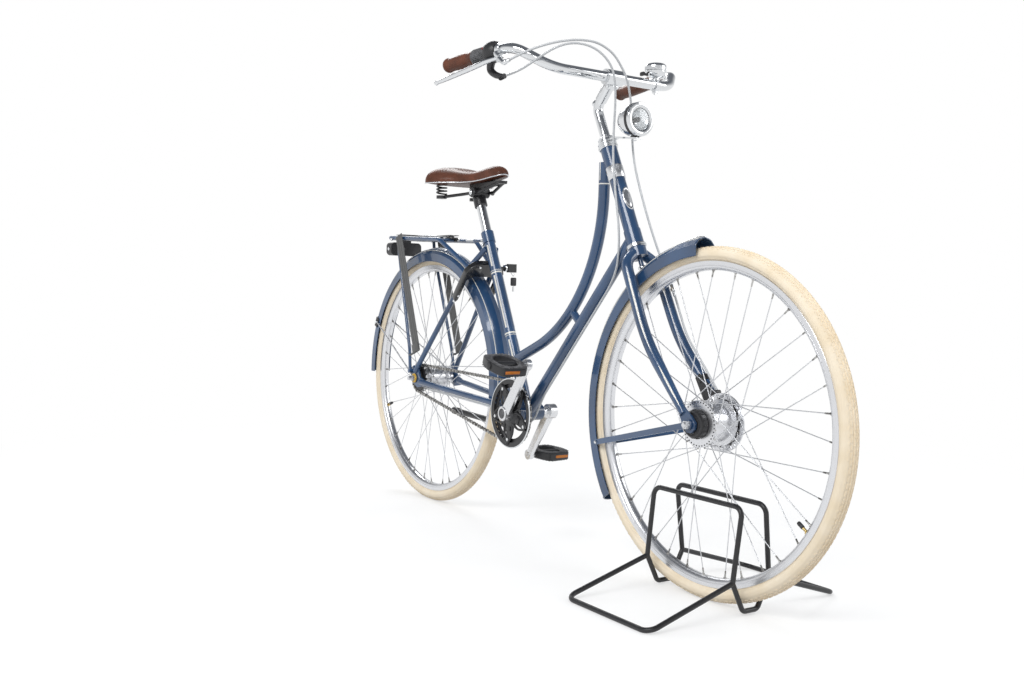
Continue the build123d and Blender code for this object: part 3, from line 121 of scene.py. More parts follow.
def ramp(tree, source, low_code, high_code, low=0.0, high=1.0):
    """A colour between two hex values, as source goes from low to high."""
    tone = add(tree, "ValToRGB", {"Fac": source})
    for stop, position, code in zip(tone.color_ramp.elements, (low, high), (low_code, high_code)):
        stop.position = position
        stop.color = linear(code)
    return tone.outputs["Color"]


def spread(tree, source, low, high, first, last):
    """A plain value from first to last, as source goes from low to high."""
    scaled = add(tree, "MapRange", {"Value": source},
                 {"From Min": low, "From Max": high, "To Min": first, "To Max": last})
    return scaled.outputs["Result"]


def bump(tree, source, strength, depth):
    """Relief of a depth in metres."""
    return add(tree, "Bump", {"Height": source}, {"Strength": strength, "Distance": depth}).outputs["Normal"]


def surface(tree, links, values):
    """The shader that ends a material."""
    shader = add(tree, "BsdfPrincipled", links, values)
    add(tree, "OutputMaterial", {"Surface": shader.outputs["BSDF"]})


def finish(name, values, mottle, tones=None, rough=None, grain=None, relief=None):
    """A material whose colour or roughness follows mottle, and whose relief follows grain, or else mottle."""
    material, tree = new_material(name)
    source = pattern(tree, *mottle)
    links = {}
    if tones:
        links["Base Color"] = ramp(tree, source, *tones)
    if rough:
        links["Roughness"] = spread(tree, source, 0.3, 0.75, *rough)
    if relief:
        links["Normal"] = bump(tree, pattern(tree, *grain) if grain else source, *relief)
    surface(tree, links, values)
    return material


def turned_alloy(name, centre):
    """Aluminium turned on a lathe: fine rings round the axle, 1.5 mm apart so that they show."""
    material, tree = new_material(name)
    place = add(tree, "TexCoord")
    shift = [-value for value in centre]
    middle = add(tree, "Mapping", {"Vector": place.outputs["Object"]}, {"Location": shift})
    flat = add(tree, "VectorMath", {0: middle.outputs["Vector"]}, {1: (1.0, 0.0, 1.0)}, operation="MULTIPLY")
    radius = add(tree, "VectorMath", {0: flat.outputs["Vector"]}, operation="LENGTH")
    rings = add(tree, "TexNoise", {"W": radius.outputs["Value"]}, {"Scale": 650.0, "Detail": 2.0},
                noise_dimensions="1D")
    shine = spread(tree, rings.outputs["Fac"], 0.3, 0.7, 0.22, 0.4)
    relief = bump(tree, rings.outputs["Fac"], 0.25, 0.0002)
    surface(tree, {"Roughness": shine, "Normal": relief}, {"Base Color": linear("#DCDDE0"), "Metallic": 1.0})
    return material


# Enamel, sprayed and baked: deep blue with a wet gloss, a faint orange peel about 3 mm across,
# and a slightly uneven depth of colour from tube to tube.
ENAMEL = {"Roughness": 0.28, "IOR": 1.5, "Coat Weight": 0.8, "Coat Roughness": 0.05}
blue_enamel = finish("enamel_sprayed_blue", ENAMEL, noise(9.0, 3.0), ("#213F62", "#2C5079", 0.35, 0.68),
                     grain=noise(330.0, 1.0), relief=(0.12, 0.0003))

# Steel, chrome plated: a near mirror with a little haze where hands have wiped it.
chrome = finish("steel_chrome_plated", {"Base Color": linear("#DADCDE"), "Metallic": 1.0}, noise(45.0, 4.0),
                rough=(0.05, 0.13))

# Aluminium, polished and anodised clear: bright, a little softer than chrome.
polished_alloy = finish("aluminium_polished", {"Base Color": linear("#DDDEE0"), "Metallic": 1.0},
                        noise(60.0, 4.0), rough=(0.2, 0.34))

# Aluminium, turned and left bare: bright rings that catch the light round each axle.
front_alloy = turned_alloy("aluminium_turned_front", FRONT_AXLE)
rear_alloy = turned_alloy("aluminium_turned_rear", REAR_AXLE)

# Steel wire, stainless and drawn: bright, with a soft grey mottle about 8 mm across.
bright_wire = finish("stainless_steel_drawn", {"Metallic": 1.0, "Roughness": 0.4}, noise(120.0),
                     ("#C4C6C9", "#E4E5E8"))

# Steel, bare and oiled: darker, with a smeared film of grease.
oiled_steel = finish("steel_oiled", {"Metallic": 1.0, "Roughness": 0.36}, noise(140.0, 5.0),
                     ("#5A5754", "#C2C1BF", 0.35, 0.62))

# Steel, powder coated black: a soft sheen over a fine pebble about 1 mm across.
black_powder = finish("steel_powder_coated_black", {"Roughness": 0.33, "IOR": 1.5}, noise(30.0, 3.0),
                      ("#1A1A1C", "#2B2B2E"), grain=noise(1000.0, 1.0), relief=(0.25, 0.0002))

# ABS, moulded black: even satin with a fine spark-eroded grain.
black_abs = finish("abs_moulded_black", {"Roughness": 0.42, "IOR": 1.53}, noise(25.0), ("#202022", "#303033"),
                   grain=noise(1400.0), relief=(0.2, 0.00015))

# Rubber, moulded dark grey: dull, with uneven dust.
grey_rubber = finish("rubber_moulded_grey", {"Roughness": 0.62, "IOR": 1.52}, noise(80.0, 4.0),
                     ("#4C4C4E", "#6E6E71", 0.38, 0.7))

# Rubber, moulded cream: chalky and faintly mottled, with pores about 1 mm across.
cream_rubber = finish("rubber_moulded_cream", {"Roughness": 0.62, "IOR": 1.52}, noise(22.0, 5.0),
                      ("#F2E0C2", "#FBEDD6", 0.3, 0.7), grain=noise(900.0), relief=(0.25, 0.0003))

# Leather, pressed and waxed: warm brown, a fine pebble about 1.2 mm across and a polished bloom.
brown_leather = finish("leather_pressed_brown",
                       {"Roughness": 0.45, "IOR": 1.45, "Specular IOR Level": 0.1, "Coat Weight": 0.15,
                        "Coat Roughness": 0.15},
                       noise(28.0, 6.0, Roughness=0.6), ("#4F3328", "#754838", 0.3, 0.72),
                       grain=("TexVoronoi", 800.0, {}, {"feature": "DISTANCE_TO_EDGE"}), relief=(0.3, 0.0002))

# PVC, extruded pale grey over a wound steel liner: glossy, with a faint grey mottle.
grey_pvc = finish("pvc_extruded_silver", {"Roughness": 0.3, "IOR": 1.53}, noise(60.0), ("#BFC1C4", "#D2D4D6"))

# Elastic, woven grey-black: ribs across the strap every 3 mm.
woven_elastic = finish("elastic_woven_black", {"Roughness": 0.75, "Sheen Weight": 0.3},
                       ("TexWave", 100.0, {"Distortion": 0.6}, {"bands_direction": "Z"}),
                       ("#454545", "#666665"), relief=(0.4, 0.0004))

# Acrylic, moulded clear: the lamp's lens, with faint flow lines.
clear_lens = finish("acrylic_moulded_clear",
                    {"Base Color": linear("#F7F9FA"), "Transmission Weight": 0.92, "Roughness": 0.03,
                     "IOR": 1.49},
                    noise(160.0, 1.0), relief=(0.1, 0.0003))

# Acrylic, moulded amber: reflector faces under a hard gloss, cells about 2 mm across.
ACRYLIC = {"Roughness": 0.12, "IOR": 1.49}
CELLS = {"Randomness": 0.2}
amber_lens = finish("acrylic_moulded_amber", ACRYLIC, ("TexVoronoi", 500.0, CELLS), ("#E08A2C", "#B25710"),
                    relief=(0.35, 0.0005))

# Acrylic, moulded red: the rear lens and the shifter's mark, with cells about 2 mm across.
red_lens = finish("acrylic_moulded_red", ACRYLIC, ("TexVoronoi", 450.0, CELLS), ("#B8231D", "#7E100E"),
                  relief=(0.35, 0.0005))

# Brass, drawn: the valve stems, yellow and a little tarnished.
brass = finish("brass_drawn", {"Metallic": 1.0, "Roughness": 0.3}, noise(300.0, 3.0), ("#B79A5E", "#D8C48C"))

# Nylon, moulded yellow: satin and slightly mottled, for the rear axle's washer.
yellow_nylon = finish("nylon_moulded_yellow", {"Roughness": 0.4, "IOR": 1.53}, noise(350.0),
                      ("#C79A22", "#E0B83C"))

# Thread, waxed polyester: dark brown, twisted about every 2 mm.
dark_thread = finish("polyester_waxed_thread", {"Roughness": 0.6, "IOR": 1.5},
                     ("TexWave", 160.0, {}, {"bands_direction": "DIAGONAL"}), ("#2B1A13", "#54382B"))

# Enamel, brushed white: the lining on the frame, fenders and fork, with faint strokes under the same gloss.
white_lacquer = finish("enamel_brushed_white", ENAMEL, noise(90.0, 3.0), ("#D9D6CC", "#F1EFE8"))

# Lacquer, sprayed black over steel: deep gloss, with a slight waviness about 8 mm across.
black_lacquer = finish("lacquer_sprayed_black",
                       {"Roughness": 0.22, "IOR": 1.5, "Coat Weight": 0.6, "Coat Roughness": 0.08},
                       noise(120.0, 1.0), ("#141415", "#232325"), relief=(0.15, 0.0004))

# Each finish, its material slot in the frame and the solids that wear it.
FINISHES = {
    blue_enamel: ("blue_paint", ["head_tube", "bottom_bracket", "seat_tube", "down_tube", "swan_tube",
                                 "tube_strut", "dropouts", "chain_stays", "seat_stays", "rear_fender",
                                 "front_fender", "front_fender_stays", "fork", "carrier_platform",
                                 "carrier_legs"]),
    white_lacquer: ("blue_paint", []),
    chrome: ("chrome", ["headset_cups", "headset_locknut", "stem", "handlebar", "bell", "lamp_bracket",
                        "headlamp", "seat_post", "brake_lever"]),
    clear_lens: ("chrome", []),
    polished_alloy: ("polished_alloy", ["cranks", "bracket_bearings"]),
    front_alloy: ("polished_alloy", ["front_rim", "front_hub"]),
    rear_alloy: ("polished_alloy", ["rear_rim", "rear_hub"]),
    bright_wire: ("steel_wire", ["front_spokes", "rear_spokes", "rear_fender_stays", "front_axle",
                                 "rear_axle"]),
    brass: ("steel_wire", []),
    black_powder: ("black_steel", ["saddle_undercarriage", "saddle_springs", "front_brake", "display_stand",
                                   "kickstand_leg", "kickstand_bracket", "rear_sprocket", "chainring"]),
    oiled_steel: ("chain_steel", ["chain"]),
    black_abs: ("black_plastic", ["shifter", "ring_lock", "lock_key", "rear_light"]),
    grey_rubber: ("black_plastic", ["pedal_right", "pedal_left"]),
    black_lacquer: ("black_plastic", []),
    amber_lens: ("black_plastic", []),
    red_lens: ("black_plastic", []),
    yellow_nylon: ("black_plastic", []),
    woven_elastic: ("black_rubber", ["carrier_straps"]),
    cream_rubber: ("cream_tyre", ["front_tyre", "rear_tyre"]),
    brown_leather: ("brown_leather", ["saddle_cover", "grips"]),
    dark_thread: ("brown_leather", []),
    grey_pvc: ("cable_housing", ["brake_cable", "shift_cable_loop", "shift_cable_frame"]),
}
for material, (_, names) in FINISHES.items():
    for name in names:
        nodes[name].data.materials.clear()
        nodes[name].data.materials.append(material)


# -------------------------------- shaping
def put(name, data):
    """Adds an object to the scene."""
    thing = bpy.data.objects.new(name, data)
    scene.collection.objects.link(thing)
    return thing


def piece(bm, name, body, material, crease=35.0, bend=None):
    """Turns a bmesh into a named piece that rides on a body; given bend, it rides on none and its place is
    baked into its mesh.
    """
    mesh = bpy.data.meshes.new(name)
    bm.to_mesh(mesh)
    bm.free()
    mesh.materials.append(material)
    mesh.polygons.foreach_set("use_smooth", [True] * len(mesh.polygons))
    mesh.set_sharp_from_angle(angle=math.radians(crease))
    thing = put(name, mesh)
    if bend:
        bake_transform(thing)
    else:
        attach(thing, body)
    return thing


def facing(centre, way):
    """Moves a shape made along Z to lie along way at centre."""
    return Matrix.Translation(centre) @ way.to_track_quat("Z", "Y").to_matrix().to_4x4()


def axes(centre, ahead, up):
    """Moves a shape so that its X runs ahead and its Z up."""
    up = up.normalized()
    ahead = (ahead - up * ahead.dot(up)).normalized()
    return Matrix.Translation(centre) @ Matrix((ahead, up.cross(ahead), up)).transposed().to_4x4()


def meeting(verts, kind):
    """The edges or faces that meet some verts, each once and always in the same order."""
    return list(dict.fromkeys(item for vert in verts for item in getattr(vert, kind)))


def rod(bm, start, end, radius, end_radius=None, sides=24):
    """Round bar between two points; radii in millimetres."""
    end_radius = radius if end_radius is None else end_radius
    bmesh.ops.create_cone(bm, cap_ends=True, segments=sides, radius1=radius / 1000, radius2=end_radius / 1000,
                          depth=(end - start).length, matrix=facing((start + end) / 2, end - start))


def turned(bm, outline, centre, axis, steps=64, loop=False):
    """Spins an outline of (radius, height) in millimetres round an axis; loop closes the outline to a ring."""
    old = set(bm.verts)
    verts = [bm.verts.new((radius / 1000, 0, height / 1000)) for radius, height in outline]
    ends = verts[1:] + verts[:1] if loop else verts[1:]
    edges = [bm.edges.new(pair) for pair in zip(verts, ends)]
    bmesh.ops.spin(bm, geom=verts + edges, cent=(0, 0, 0), axis=(0, 0, 1), angle=math.tau, steps=steps,
                   use_merge=True)
    new = [vert for vert in bm.verts if vert not in old]
    bmesh.ops.remove_doubles(bm, verts=new, dist=1e-6)
    new = [vert for vert in bm.verts if vert not in old]
    bmesh.ops.recalc_face_normals(bm, faces=meeting(new, "link_faces"))
    bmesh.ops.transform(bm, matrix=axes(centre, AHEAD if abs(axis.x) < 0.9 else LEFT, axis), verts=new)


def round_edges(bm, verts, bevel, segments):
    bmesh.ops.bevel(bm, geom=meeting(verts, "link_edges"), offset=bevel / 1000, offset_type="OFFSET",
                    segments=segments, profile=0.5, affect="EDGES", material=-1)


def block(bm, centre, size, ahead=AHEAD, up=UP, bevel=0.0, segments=2):
    """Box of a size in millimetres, its edges rounded by bevel."""
    matrix = axes(centre, ahead, up) @ Matrix.Diagonal((size[0] / 1000, size[1] / 1000, size[2] / 1000, 1))
    verts = bmesh.ops.create_cube(bm, size=1.0, matrix=matrix)["verts"]
    if bevel:
        round_edges(bm, verts, bevel, segments)


def plate(bm, corners, matrix, thickness, bevel=0.0, segments=2):
    """Flat plate from (x, y) corners in millimetres, laid in the plane of matrix and centred on it."""
    verts = [bm.verts.new(matrix @ Vector((x / 1000, y / 1000, -thickness / 2000))) for x, y in corners]
    face = bm.faces.new(verts)
    grown = bmesh.ops.extrude_face_region(bm, geom=[face])["geom"]
    top = [item for item in grown if isinstance(item, bmesh.types.BMVert)]
    bmesh.ops.translate(bm, vec=matrix.to_3x3() @ Vector((0, 0, thickness / 1000)), verts=top)
    bmesh.ops.recalc_face_normals(bm, faces=meeting(verts + top, "link_faces"))
    if bevel:
        round_edges(bm, verts + top, bevel, segments)


def tube(bm, points, radius, sides=5, radii=None):
    """Round bar along a smooth line through the points; radii in millimetres."""
    curve = bpy.data.curves.new("line", "CURVE")
    curve.dimensions = "3D"
    curve.bevel_depth = radius / 1000
    curve.bevel_resolution = sides
    curve.use_fill_caps = True
    spline = curve.splines.new("NURBS")
    spline.points.add(len(points) - 1)
    for index, point in enumerate(points):
        spline.points[index].co = (*point, 1.0)
        spline.points[index].radius = 1.0 if radii is None else radii[index]
    spline.order_u = 3
    spline.use_endpoint_u = True
    spline.resolution_u = 8
    thing = bpy.data.objects.new("line", curve)
    mesh = bpy.data.meshes.new_from_object(thing)
    bm.from_mesh(mesh)
    bpy.data.objects.remove(thing)
    bpy.data.meshes.remove(mesh)


def nut(bm, centre, axis, across, height):
    """Six-sided nut of a size across its flats, with a bolt's domed end on it; sizes in millimetres."""
    up = axis.normalized()
    top = centre + up * height / 1000
    rod(bm, centre, top, across * 0.577, sides=6)
    rod(bm, top, centre + up * (height + 1.5) / 1000, across * 0.48, across * 0.34)


# -------------------------------- wheels
def round_axle(axle, radius, degrees, left):
    """Point at a radius and height from an axle, degrees up from straight ahead."""
    turn = math.radians(degrees)
    return axle + Vector((radius * math.cos(turn), left, radius * math.sin(turn))) / 1000


def outward(degrees):
    """The way out from an axle, degrees up from straight ahead."""
    return round_axle(Vector(), 1000, degrees, 0)


# The tyre's and rim's left halves, from the rim seat outward and from the hub outward: radius and half width.
TYRE_SIDE = [(311.5, 9.6), (316.5, 9.9), (318.5, 12.0), (320.0, 14.6), (321.0, 14.6), (323.5, 17.2),
             (326.0, 18.3), (329.0, 18.4), (332.0, 17.7), (333.5, 17.5), (335.0, 16.3), (338.2, 13.8),
             (341.0, 10.6), (341.0, 9.9), (342.9, 6.7), (342.3, 6.2), (342.3, 5.6), (343.5, 5.0), (344.0, 1.6),
             (343.2, 1.2), (343.2, 0.4)]
RIM_SIDE = [(298.2, 4.0), (299.4, 7.0), (302.5, 9.8), (305.5, 11.6), (306.3, 11.6), (306.8, 11.1),
            (307.6, 11.1), (308.1, 11.7), (316.2, 11.9), (317.0, 11.2), (316.6, 10.1), (311.0, 9.7)]
# One block of each tread row: left, radius, size and half a step of turn where the row is staggered.
TREAD = [(3.2, 343.4, (8.5, 2.4, 2.4), 0), (-3.2, 343.4, (8.5, 2.4, 2.4), 0.5),
         (8.4, 341.6, (8.5, 2.6, 2.4), 0.5), (-8.4, 341.6, (8.5, 2.6, 2.4), 0),
         (12.6, 339.0, (5.0, 2.6, 1.8), 0), (-12.6, 339.0, (5.0, 2.6, 1.8), 0.5)]
TREAD_COUNT = 160
TREAD_STEP = 360 / TREAD_COUNT
# The radius of the tyre's round in millimetres, and the degrees from a spoke's tip to its head.
TYRE_ROUND = 19
SPOKES = 36
SPOKE_STEP = 360 / SPOKES
SPOKE_LEAD = 62
# Each wheel: its axle and alloy, the radius and half width of the spoke heads, and where its valve is.
WHEELS = (("front", FRONT_AXLE, front_alloy, 47.3, 28.0, -33.4), ("rear", REAR_AXLE, rear_alloy, 35.3, 27.0,
                                                                  201.0))
for name, axle, alloy, flange, head, valve_turn in WHEELS:
    body = f"{name}_wheel"
    bm = bmesh.new()
    turned(bm, [(radius, -left) for radius, left in TYRE_SIDE] + TYRE_SIDE[::-1], axle, LEFT, steps=TREAD_COUNT,
           loop=True)
    first = []
    for left, radius, size, turn in TREAD:
        old = set(bm.verts)
        centre = round_axle(axle, radius, TREAD_STEP * turn, left)
        lean = math.asin(left / TYRE_ROUND)
        out = outward(TREAD_STEP * turn) * math.cos(lean) + LEFT * math.sin(lean)
        block(bm, centre, size, ahead=UP, up=out)
        first += [vert for vert in bm.verts if vert not in old]
    bmesh.ops.spin(bm, geom=meeting(first, "link_faces"), cent=axle, axis=LEFT,
                   angle=math.tau * (1 - 1 / TREAD_COUNT), steps=TREAD_COUNT - 1, use_duplicate=True)
    tyre = piece(bm, f"{name}_tyre_tread", body, cream_rubber, crease=50)
    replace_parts(tyre, f"{name}_tyre")

    bm = bmesh.new()
    turned(bm, [(radius, -left) for radius, left in RIM_SIDE] + RIM_SIDE[::-1], axle, LEFT, steps=144,
           loop=True)
    rim = piece(bm, f"{name}_rim_hoop", body, alloy, crease=40)
    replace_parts(rim, f"{name}_rim")

    bm = bmesh.new()
    for index in range(SPOKES):
        side = 1 if index % 2 == 0 else -1
        lead = 1 if (index // 2) % 2 == 0 else -1
        foot = round_axle(axle, flange, SPOKE_STEP * index + lead * SPOKE_LEAD, side * (head + lead * 2.8))
        tip = round_axle(axle, 297.4, SPOKE_STEP * index, side * (3 + lead * 0.6))
        way = (tip - foot).normalized()
        rod(bm, tip - way * 0.013, tip + way * 0.0005, 1.5, 2.0, sides=8)
        rod(bm, tip - way * 0.001, tip + way * 0.003, 3.1, 3.1, sides=8)
        bmesh.ops.create_uvsphere(bm, u_segments=8, v_segments=5, radius=0.0019,
                                  matrix=Matrix.Translation(foot))
    piece(bm, f"{name}_spoke_nipples", body, oiled_steel)

    bm = bmesh.new()
    rod(bm, round_axle(axle, 299, valve_turn, 0), round_axle(axle, 282, valve_turn, 0), 2.8, sides=16)
    rod(bm, round_axle(axle, 298, valve_turn, 0), round_axle(axle, 295.5, valve_turn, 0), 5.0, sides=6)
    piece(bm, f"{name}_valve_stem", body, brass)
    bm = bmesh.new()
    turned(bm, [(0, 0), (3.6, 0), (4.0, 1), (4.0, 11), (3.2, 14), (0, 15)],
           round_axle(axle, 286, valve_turn, 0), -outward(valve_turn), steps=16)
    piece(bm, f"{name}_valve_cap", body, black_abs)


def flange_hole_shade(name, axle, radius, left, size):
    """Dark discs of painted shade, standing in for the spoke holes round both hub flanges."""
    bm = bmesh.new()
    for side in (-1, 1):
        for index in range(SPOKES):
            centre = round_axle(axle, radius, SPOKE_STEP * (index + 0.5), side * left)
            rod(bm, centre, centre + LEFT * side * 0.0004, size, sides=10)
    piece(bm, f"{name}_flange_hole_shade", f"{name}_wheel", black_abs)


def lugs(bm, axle, count, radius, left, size, bevel):
    """Small blocks in a ring round an axle."""
    for index in range(count):
        turn = 360 / count * index
        block(bm, round_axle(axle, radius, turn, left), size, ahead=outward(turn), up=LEFT, bevel=bevel,
              segments=1)


# front hub: painted shade discs for the spoke holes, a ribbed cooling disc on the left and a dark dust cap on
# the right
flange_hole_shade("front", FRONT_AXLE, 42.5, 29.6, 1.5)
bm = bmesh.new()
lugs(bm, FRONT_AXLE, 30, 50.5, 32.6, (11, 1.6, 1.8), 0.3)
piece(bm, "front_disc_ribs", "front_wheel", front_alloy)
bm = bmesh.new()
turned(bm, [(6, -47.8), (11, -47.8), (12, -46.6), (14, -46.6), (15, -48), (18.5, -48), (19.5, -46.4),
            (21, -46.4), (22, -47.2), (25, -46.8), (26, -45.4), (26.2, -42.6), (27.8, -42.2), (28, -32),
            (27, -30.5), (20, -30.5), (20, -44), (6, -45)], FRONT_AXLE, LEFT, steps=48, loop=True)
lugs(bm, FRONT_AXLE, 14, 27.8, -36.5, (2.4, 3.6, 9.0), 0.6)
piece(bm, "front_dust_cap", "front_wheel", black_abs)

# rear hub: painted shade discs for the spoke holes, a dark gear joint with its lugs, and a yellow washer under
# the right nut
flange_hole_shade("rear", REAR_AXLE, 31.2, 28.6, 1.4)
bm = bmesh.new()
turned(bm, [(24.3, -56.8), (24.6, -52), (21, -51), (21, -57)], REAR_AXLE, LEFT, steps=48, loop=True)
lugs(bm, REAR_AXLE, 9, 19, -57.2, (7, 3.5, 1.4), 0.4)
piece(bm, "rear_gear_joint", "frame", black_abs)
bm = bmesh.new()
turned(bm, [(5.6, -66.6), (12.5, -66.6), (13, -66), (13, -64.6), (12.5, -64), (5.6, -64)], REAR_AXLE, LEFT,
       steps=36, loop=True)
piece(bm, "axle_lock_washer", "frame", yellow_nylon)

# -------------------------------- saddle
# Rings across the saddle, back to front: ahead, half width, lower edge and crown.
SADDLE = [(72.5, 20, 888, 896), (74.5, 44, 884, 903), (79, 67, 880, 911), (87, 87, 876.5, 917),
          (98, 99, 874, 921), (110, 103, 873, 922.5), (122, 102, 873, 921), (142, 92, 873, 915),
          (165, 74, 873, 909), (190, 53, 872.5, 904.5), (215, 40, 873, 903), (240, 32, 874, 905),
          (265, 27, 876, 909), (288, 25, 878.5, 912), (308, 23.5, 880.5, 911.5), (322, 20.5, 882, 907.5),
          (332, 15, 884, 900), (337, 7, 886, 893)]
# The leather's edge turns down this far at the middle, and these powers round its shoulders.
UNDERSIDE = 5.0
SHOULDER_WIDTH, SHOULDER_RISE = 0.84, 0.8


def saddle_ring(bm, ahead, half, low, high):
    """One closed loop across the saddle: a full rounded top on a nearly flat underside."""
    loop = bmesh.ops.create_circle(bm, cap_ends=False, segments=40, radius=1.0)["verts"]
    for vert in loop:
        side, up = vert.co.x, vert.co.y
        wide = half * math.copysign(abs(side) ** SHOULDER_WIDTH, side)
        rise = (high - low) * up ** SHOULDER_RISE if up > 0 else UNDERSIDE * up
        vert.co = at(ahead, wide, low + rise + UNDERSIDE * 0.6 * (1 - max(up, 0)))
    return meeting(loop, "link_edges")


bm = bmesh.new()
rings = [saddle_ring(bm, *station) for station in SADDLE]
for ring, following in zip(rings, rings[1:]):
    bmesh.ops.bridge_loops(bm, edges=ring + following)
for ring in (rings[0], rings[-1]):
    bmesh.ops.contextual_create(bm, geom=ring)
bmesh.ops.recalc_face_normals(bm, faces=bm.faces)
saddle = piece(bm, "saddle_leather", "frame", brown_leather, crease=70)
smooth = saddle.modifiers.new("smooth", "SUBSURF")
smooth.levels = 1
smooth.render_levels = 1
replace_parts(saddle, "saddle_cover")

# rolled steel edge under the leather, and the dark pan inside it
bm = bmesh.new()
edge_points = [at(ahead, side * (half - 1.5), low + 1.5) for side, stations in ((1, SADDLE), (-1, SADDLE[::-1]))
               for ahead, half, low, high in stations]
tube(bm, edge_points + edge_points[:1], 1.7, sides=2)
piece(bm, "saddle_edge_roll", "frame", bright_wire)
bm = bmesh.new()
for side in (-1, 1):
    nut(bm, at(238, side * 24, 848), LEFT * side, 10, 6)
    rod(bm, at(106, side * 52, 883), at(106, side * 52, 886), 17, sides=32)
piece(bm, "saddle_bolts_and_cups", "frame", black_powder)
bm = bmesh.new()
rod(bm, at(219, -31, 848), at(219, 31, 848), 4.0, sides=20)
for side in (-1, 1):
    nut(bm, at(219, side * 24, 848), LEFT * side, 13, 5)
piece(bm, "saddle_clamp_bolt", "frame", chrome)

# -------------------------------- handlebar grips and controls
BAR_MIDDLE = at(757, 0, 1063)
GRIP_END_LEFT = at(477, 252, 1100)
BAR_CORNER_LEFT = at(697, 224, 1108)
GRIP_END_RIGHT = at(477, -252, 1100)
BAR_CORNER_RIGHT = at(697, -224, 1108)
LEFT_WAY = (BAR_CORNER_LEFT - GRIP_END_LEFT).normalized()
RIGHT_WAY = (BAR_CORNER_RIGHT - GRIP_END_RIGHT).normalized()
STITCH = 5


def grip(name, end, way, length):
    """Moulded hand grip: a flared end, a fuller palm and a seam ring at each end."""
    bm = bmesh.new()
    turned(bm, [(0, -4), (12.5, -4), (15.2, -2.6), (16.4, 1), (16.4, 4), (15.4, 6), (14.9, 8), (15.0, 20),
                (15.9, 40), (16.1, 55), (15.4, length - 22), (14.6, length - 9), (15.3, length - 7),
                (15.5, length - 3), (14.8, length), (11.4, length), (11.4, 1), (0, 1)], end, way)
    thing = piece(bm, name, "steering", brown_leather, crease=50)
    bm = bmesh.new()
    side = way.cross(UP).normalized()
    below = side.cross(way).normalized() * (-1 if side.cross(way).z > 0 else 1)
    for index in range(int((length - 20) / STITCH)):
        centre = end + way * (11 + STITCH * index) / 1000 + below * 0.0154
        block(bm, centre, (3.2, 1.0, 0.9), ahead=way + side * (0.35 if index % 2 else -0.35), up=below,
              bevel=0.3, segments=1)
    piece(bm, f"{name}_stitching", "steering", dark_thread)
    return thing


left_grip = grip("left_grip", GRIP_END_LEFT, LEFT_WAY, 130)
grip("right_grip", GRIP_END_RIGHT, RIGHT_WAY, 95)
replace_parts(left_grip, "grips")

# twist shifter: ribbed grey rubber, then a domed black body with a red mark
TWIST_RIBS = 30
bm = bmesh.new()
turned(bm, [(11.4, 95.5), (15.6, 95.5), (16.4, 97), (16.4, 139), (15.8, 141), (11.4, 141)], GRIP_END_RIGHT,
       RIGHT_WAY, loop=True)
side_way = RIGHT_WAY.cross(UP).normalized()
for index in range(TWIST_RIBS):
    out = Matrix.Rotation(math.tau * index / TWIST_RIBS, 3, RIGHT_WAY) @ side_way
    block(bm, GRIP_END_RIGHT + RIGHT_WAY * 0.1175 + out * 0.0165, (37, 1.6, 1.6), ahead=RIGHT_WAY, up=out,
          bevel=0.4, segments=1)
piece(bm, "shifter_twist_sleeve", "steering", grey_rubber)
bm = bmesh.new()
turned(bm, [(11.4, 141.4), (18, 141.4), (20.5, 143), (22.6, 148), (23.4, 156), (22.6, 165), (20, 172),
            (17, 176), (11.4, 176)], GRIP_END_RIGHT, RIGHT_WAY, loop=True)
boot_end = at(668, -219, 1053)
boot_way = (at(706, -214, 1056) - boot_end).normalized()
tube(bm, [GRIP_END_RIGHT + RIGHT_WAY * 0.156 - UP * 0.014, boot_end - boot_way * 0.060 + UP * 0.028,
          boot_end - boot_way * 0.044 + UP * 0.012, boot_end - boot_way * 0.022 + UP * 0.002,
          boot_end - boot_way * 0.006], 9.0, radii=[1.0, 0.95, 0.85, 0.7, 0.5])
for index in range(4):
    less = 0.4 * index
    turned(bm, [(4.0, 0), (6.6 - less, 0), (6.9 - less, 1.2), (6.4 - less, 2.4), (4.0, 2.4)],
           boot_end - boot_way * (0.022 - 0.0045 * index), boot_way, steps=24, loop=True)
shifter = piece(bm, "shifter_body", "steering", black_abs)
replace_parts(shifter, "shifter")
bm = bmesh.new()
mark_way = (UP * 0.35 + side_way * 0.9 + AHEAD * 0.3).normalized()
mark_way = (mark_way - RIGHT_WAY * mark_way.dot(RIGHT_WAY)).normalized()
block(bm, GRIP_END_RIGHT + RIGHT_WAY * 0.1435 + mark_way * 0.0205, (2.5, 5, 2.5), ahead=RIGHT_WAY, up=mark_way,
      bevel=0.6)
piece(bm, "shifter_index_mark", "steering", red_lens)

# brake lever: clamp band, pivot housing, flat curved blade with a ball end, barrel adjuster
bm = bmesh.new()
turned(bm, [(11.2, 176.5), (14.6, 176.5), (15.4, 177.4), (15.4, 189), (14.6, 190), (11.2, 190)], GRIP_END_RIGHT,
       RIGHT_WAY, steps=48, loop=True)
pivot = at(667, -241, 1088)
housing_foot = GRIP_END_RIGHT + RIGHT_WAY * 0.183 + Vector((0.002, -0.012, -0.008))
tube(bm, [housing_foot, (housing_foot + pivot) / 2 + Vector((0, 0, -0.002)),
          pivot + Vector((0.004, 0.002, 0.0))], 8.0, radii=[1.0, 1.05, 0.95])
rod(bm, pivot - UP * 0.011, pivot + UP * 0.010, 4.2)
nut(bm, pivot + UP * 0.009, UP, 7, 2.5)
cable_start = at(706, -237, 1077)
cable_way = (at(744, -215, 1094) - cable_start).normalized()
rod(bm, pivot, cable_start - cable_way * 0.016, 5.2, 4.6)
turned(bm, [(2.6, 0), (5.4, 0), (5.8, 1), (5.8, 6), (5.4, 7), (4.2, 7.6), (4.2, 14), (3.4, 15.6), (2.6, 15.6)],
       cable_start - cable_way * 0.0162, cable_way, steps=20, loop=True)
lever = piece(bm, "brake_lever_body", "steering", chrome)
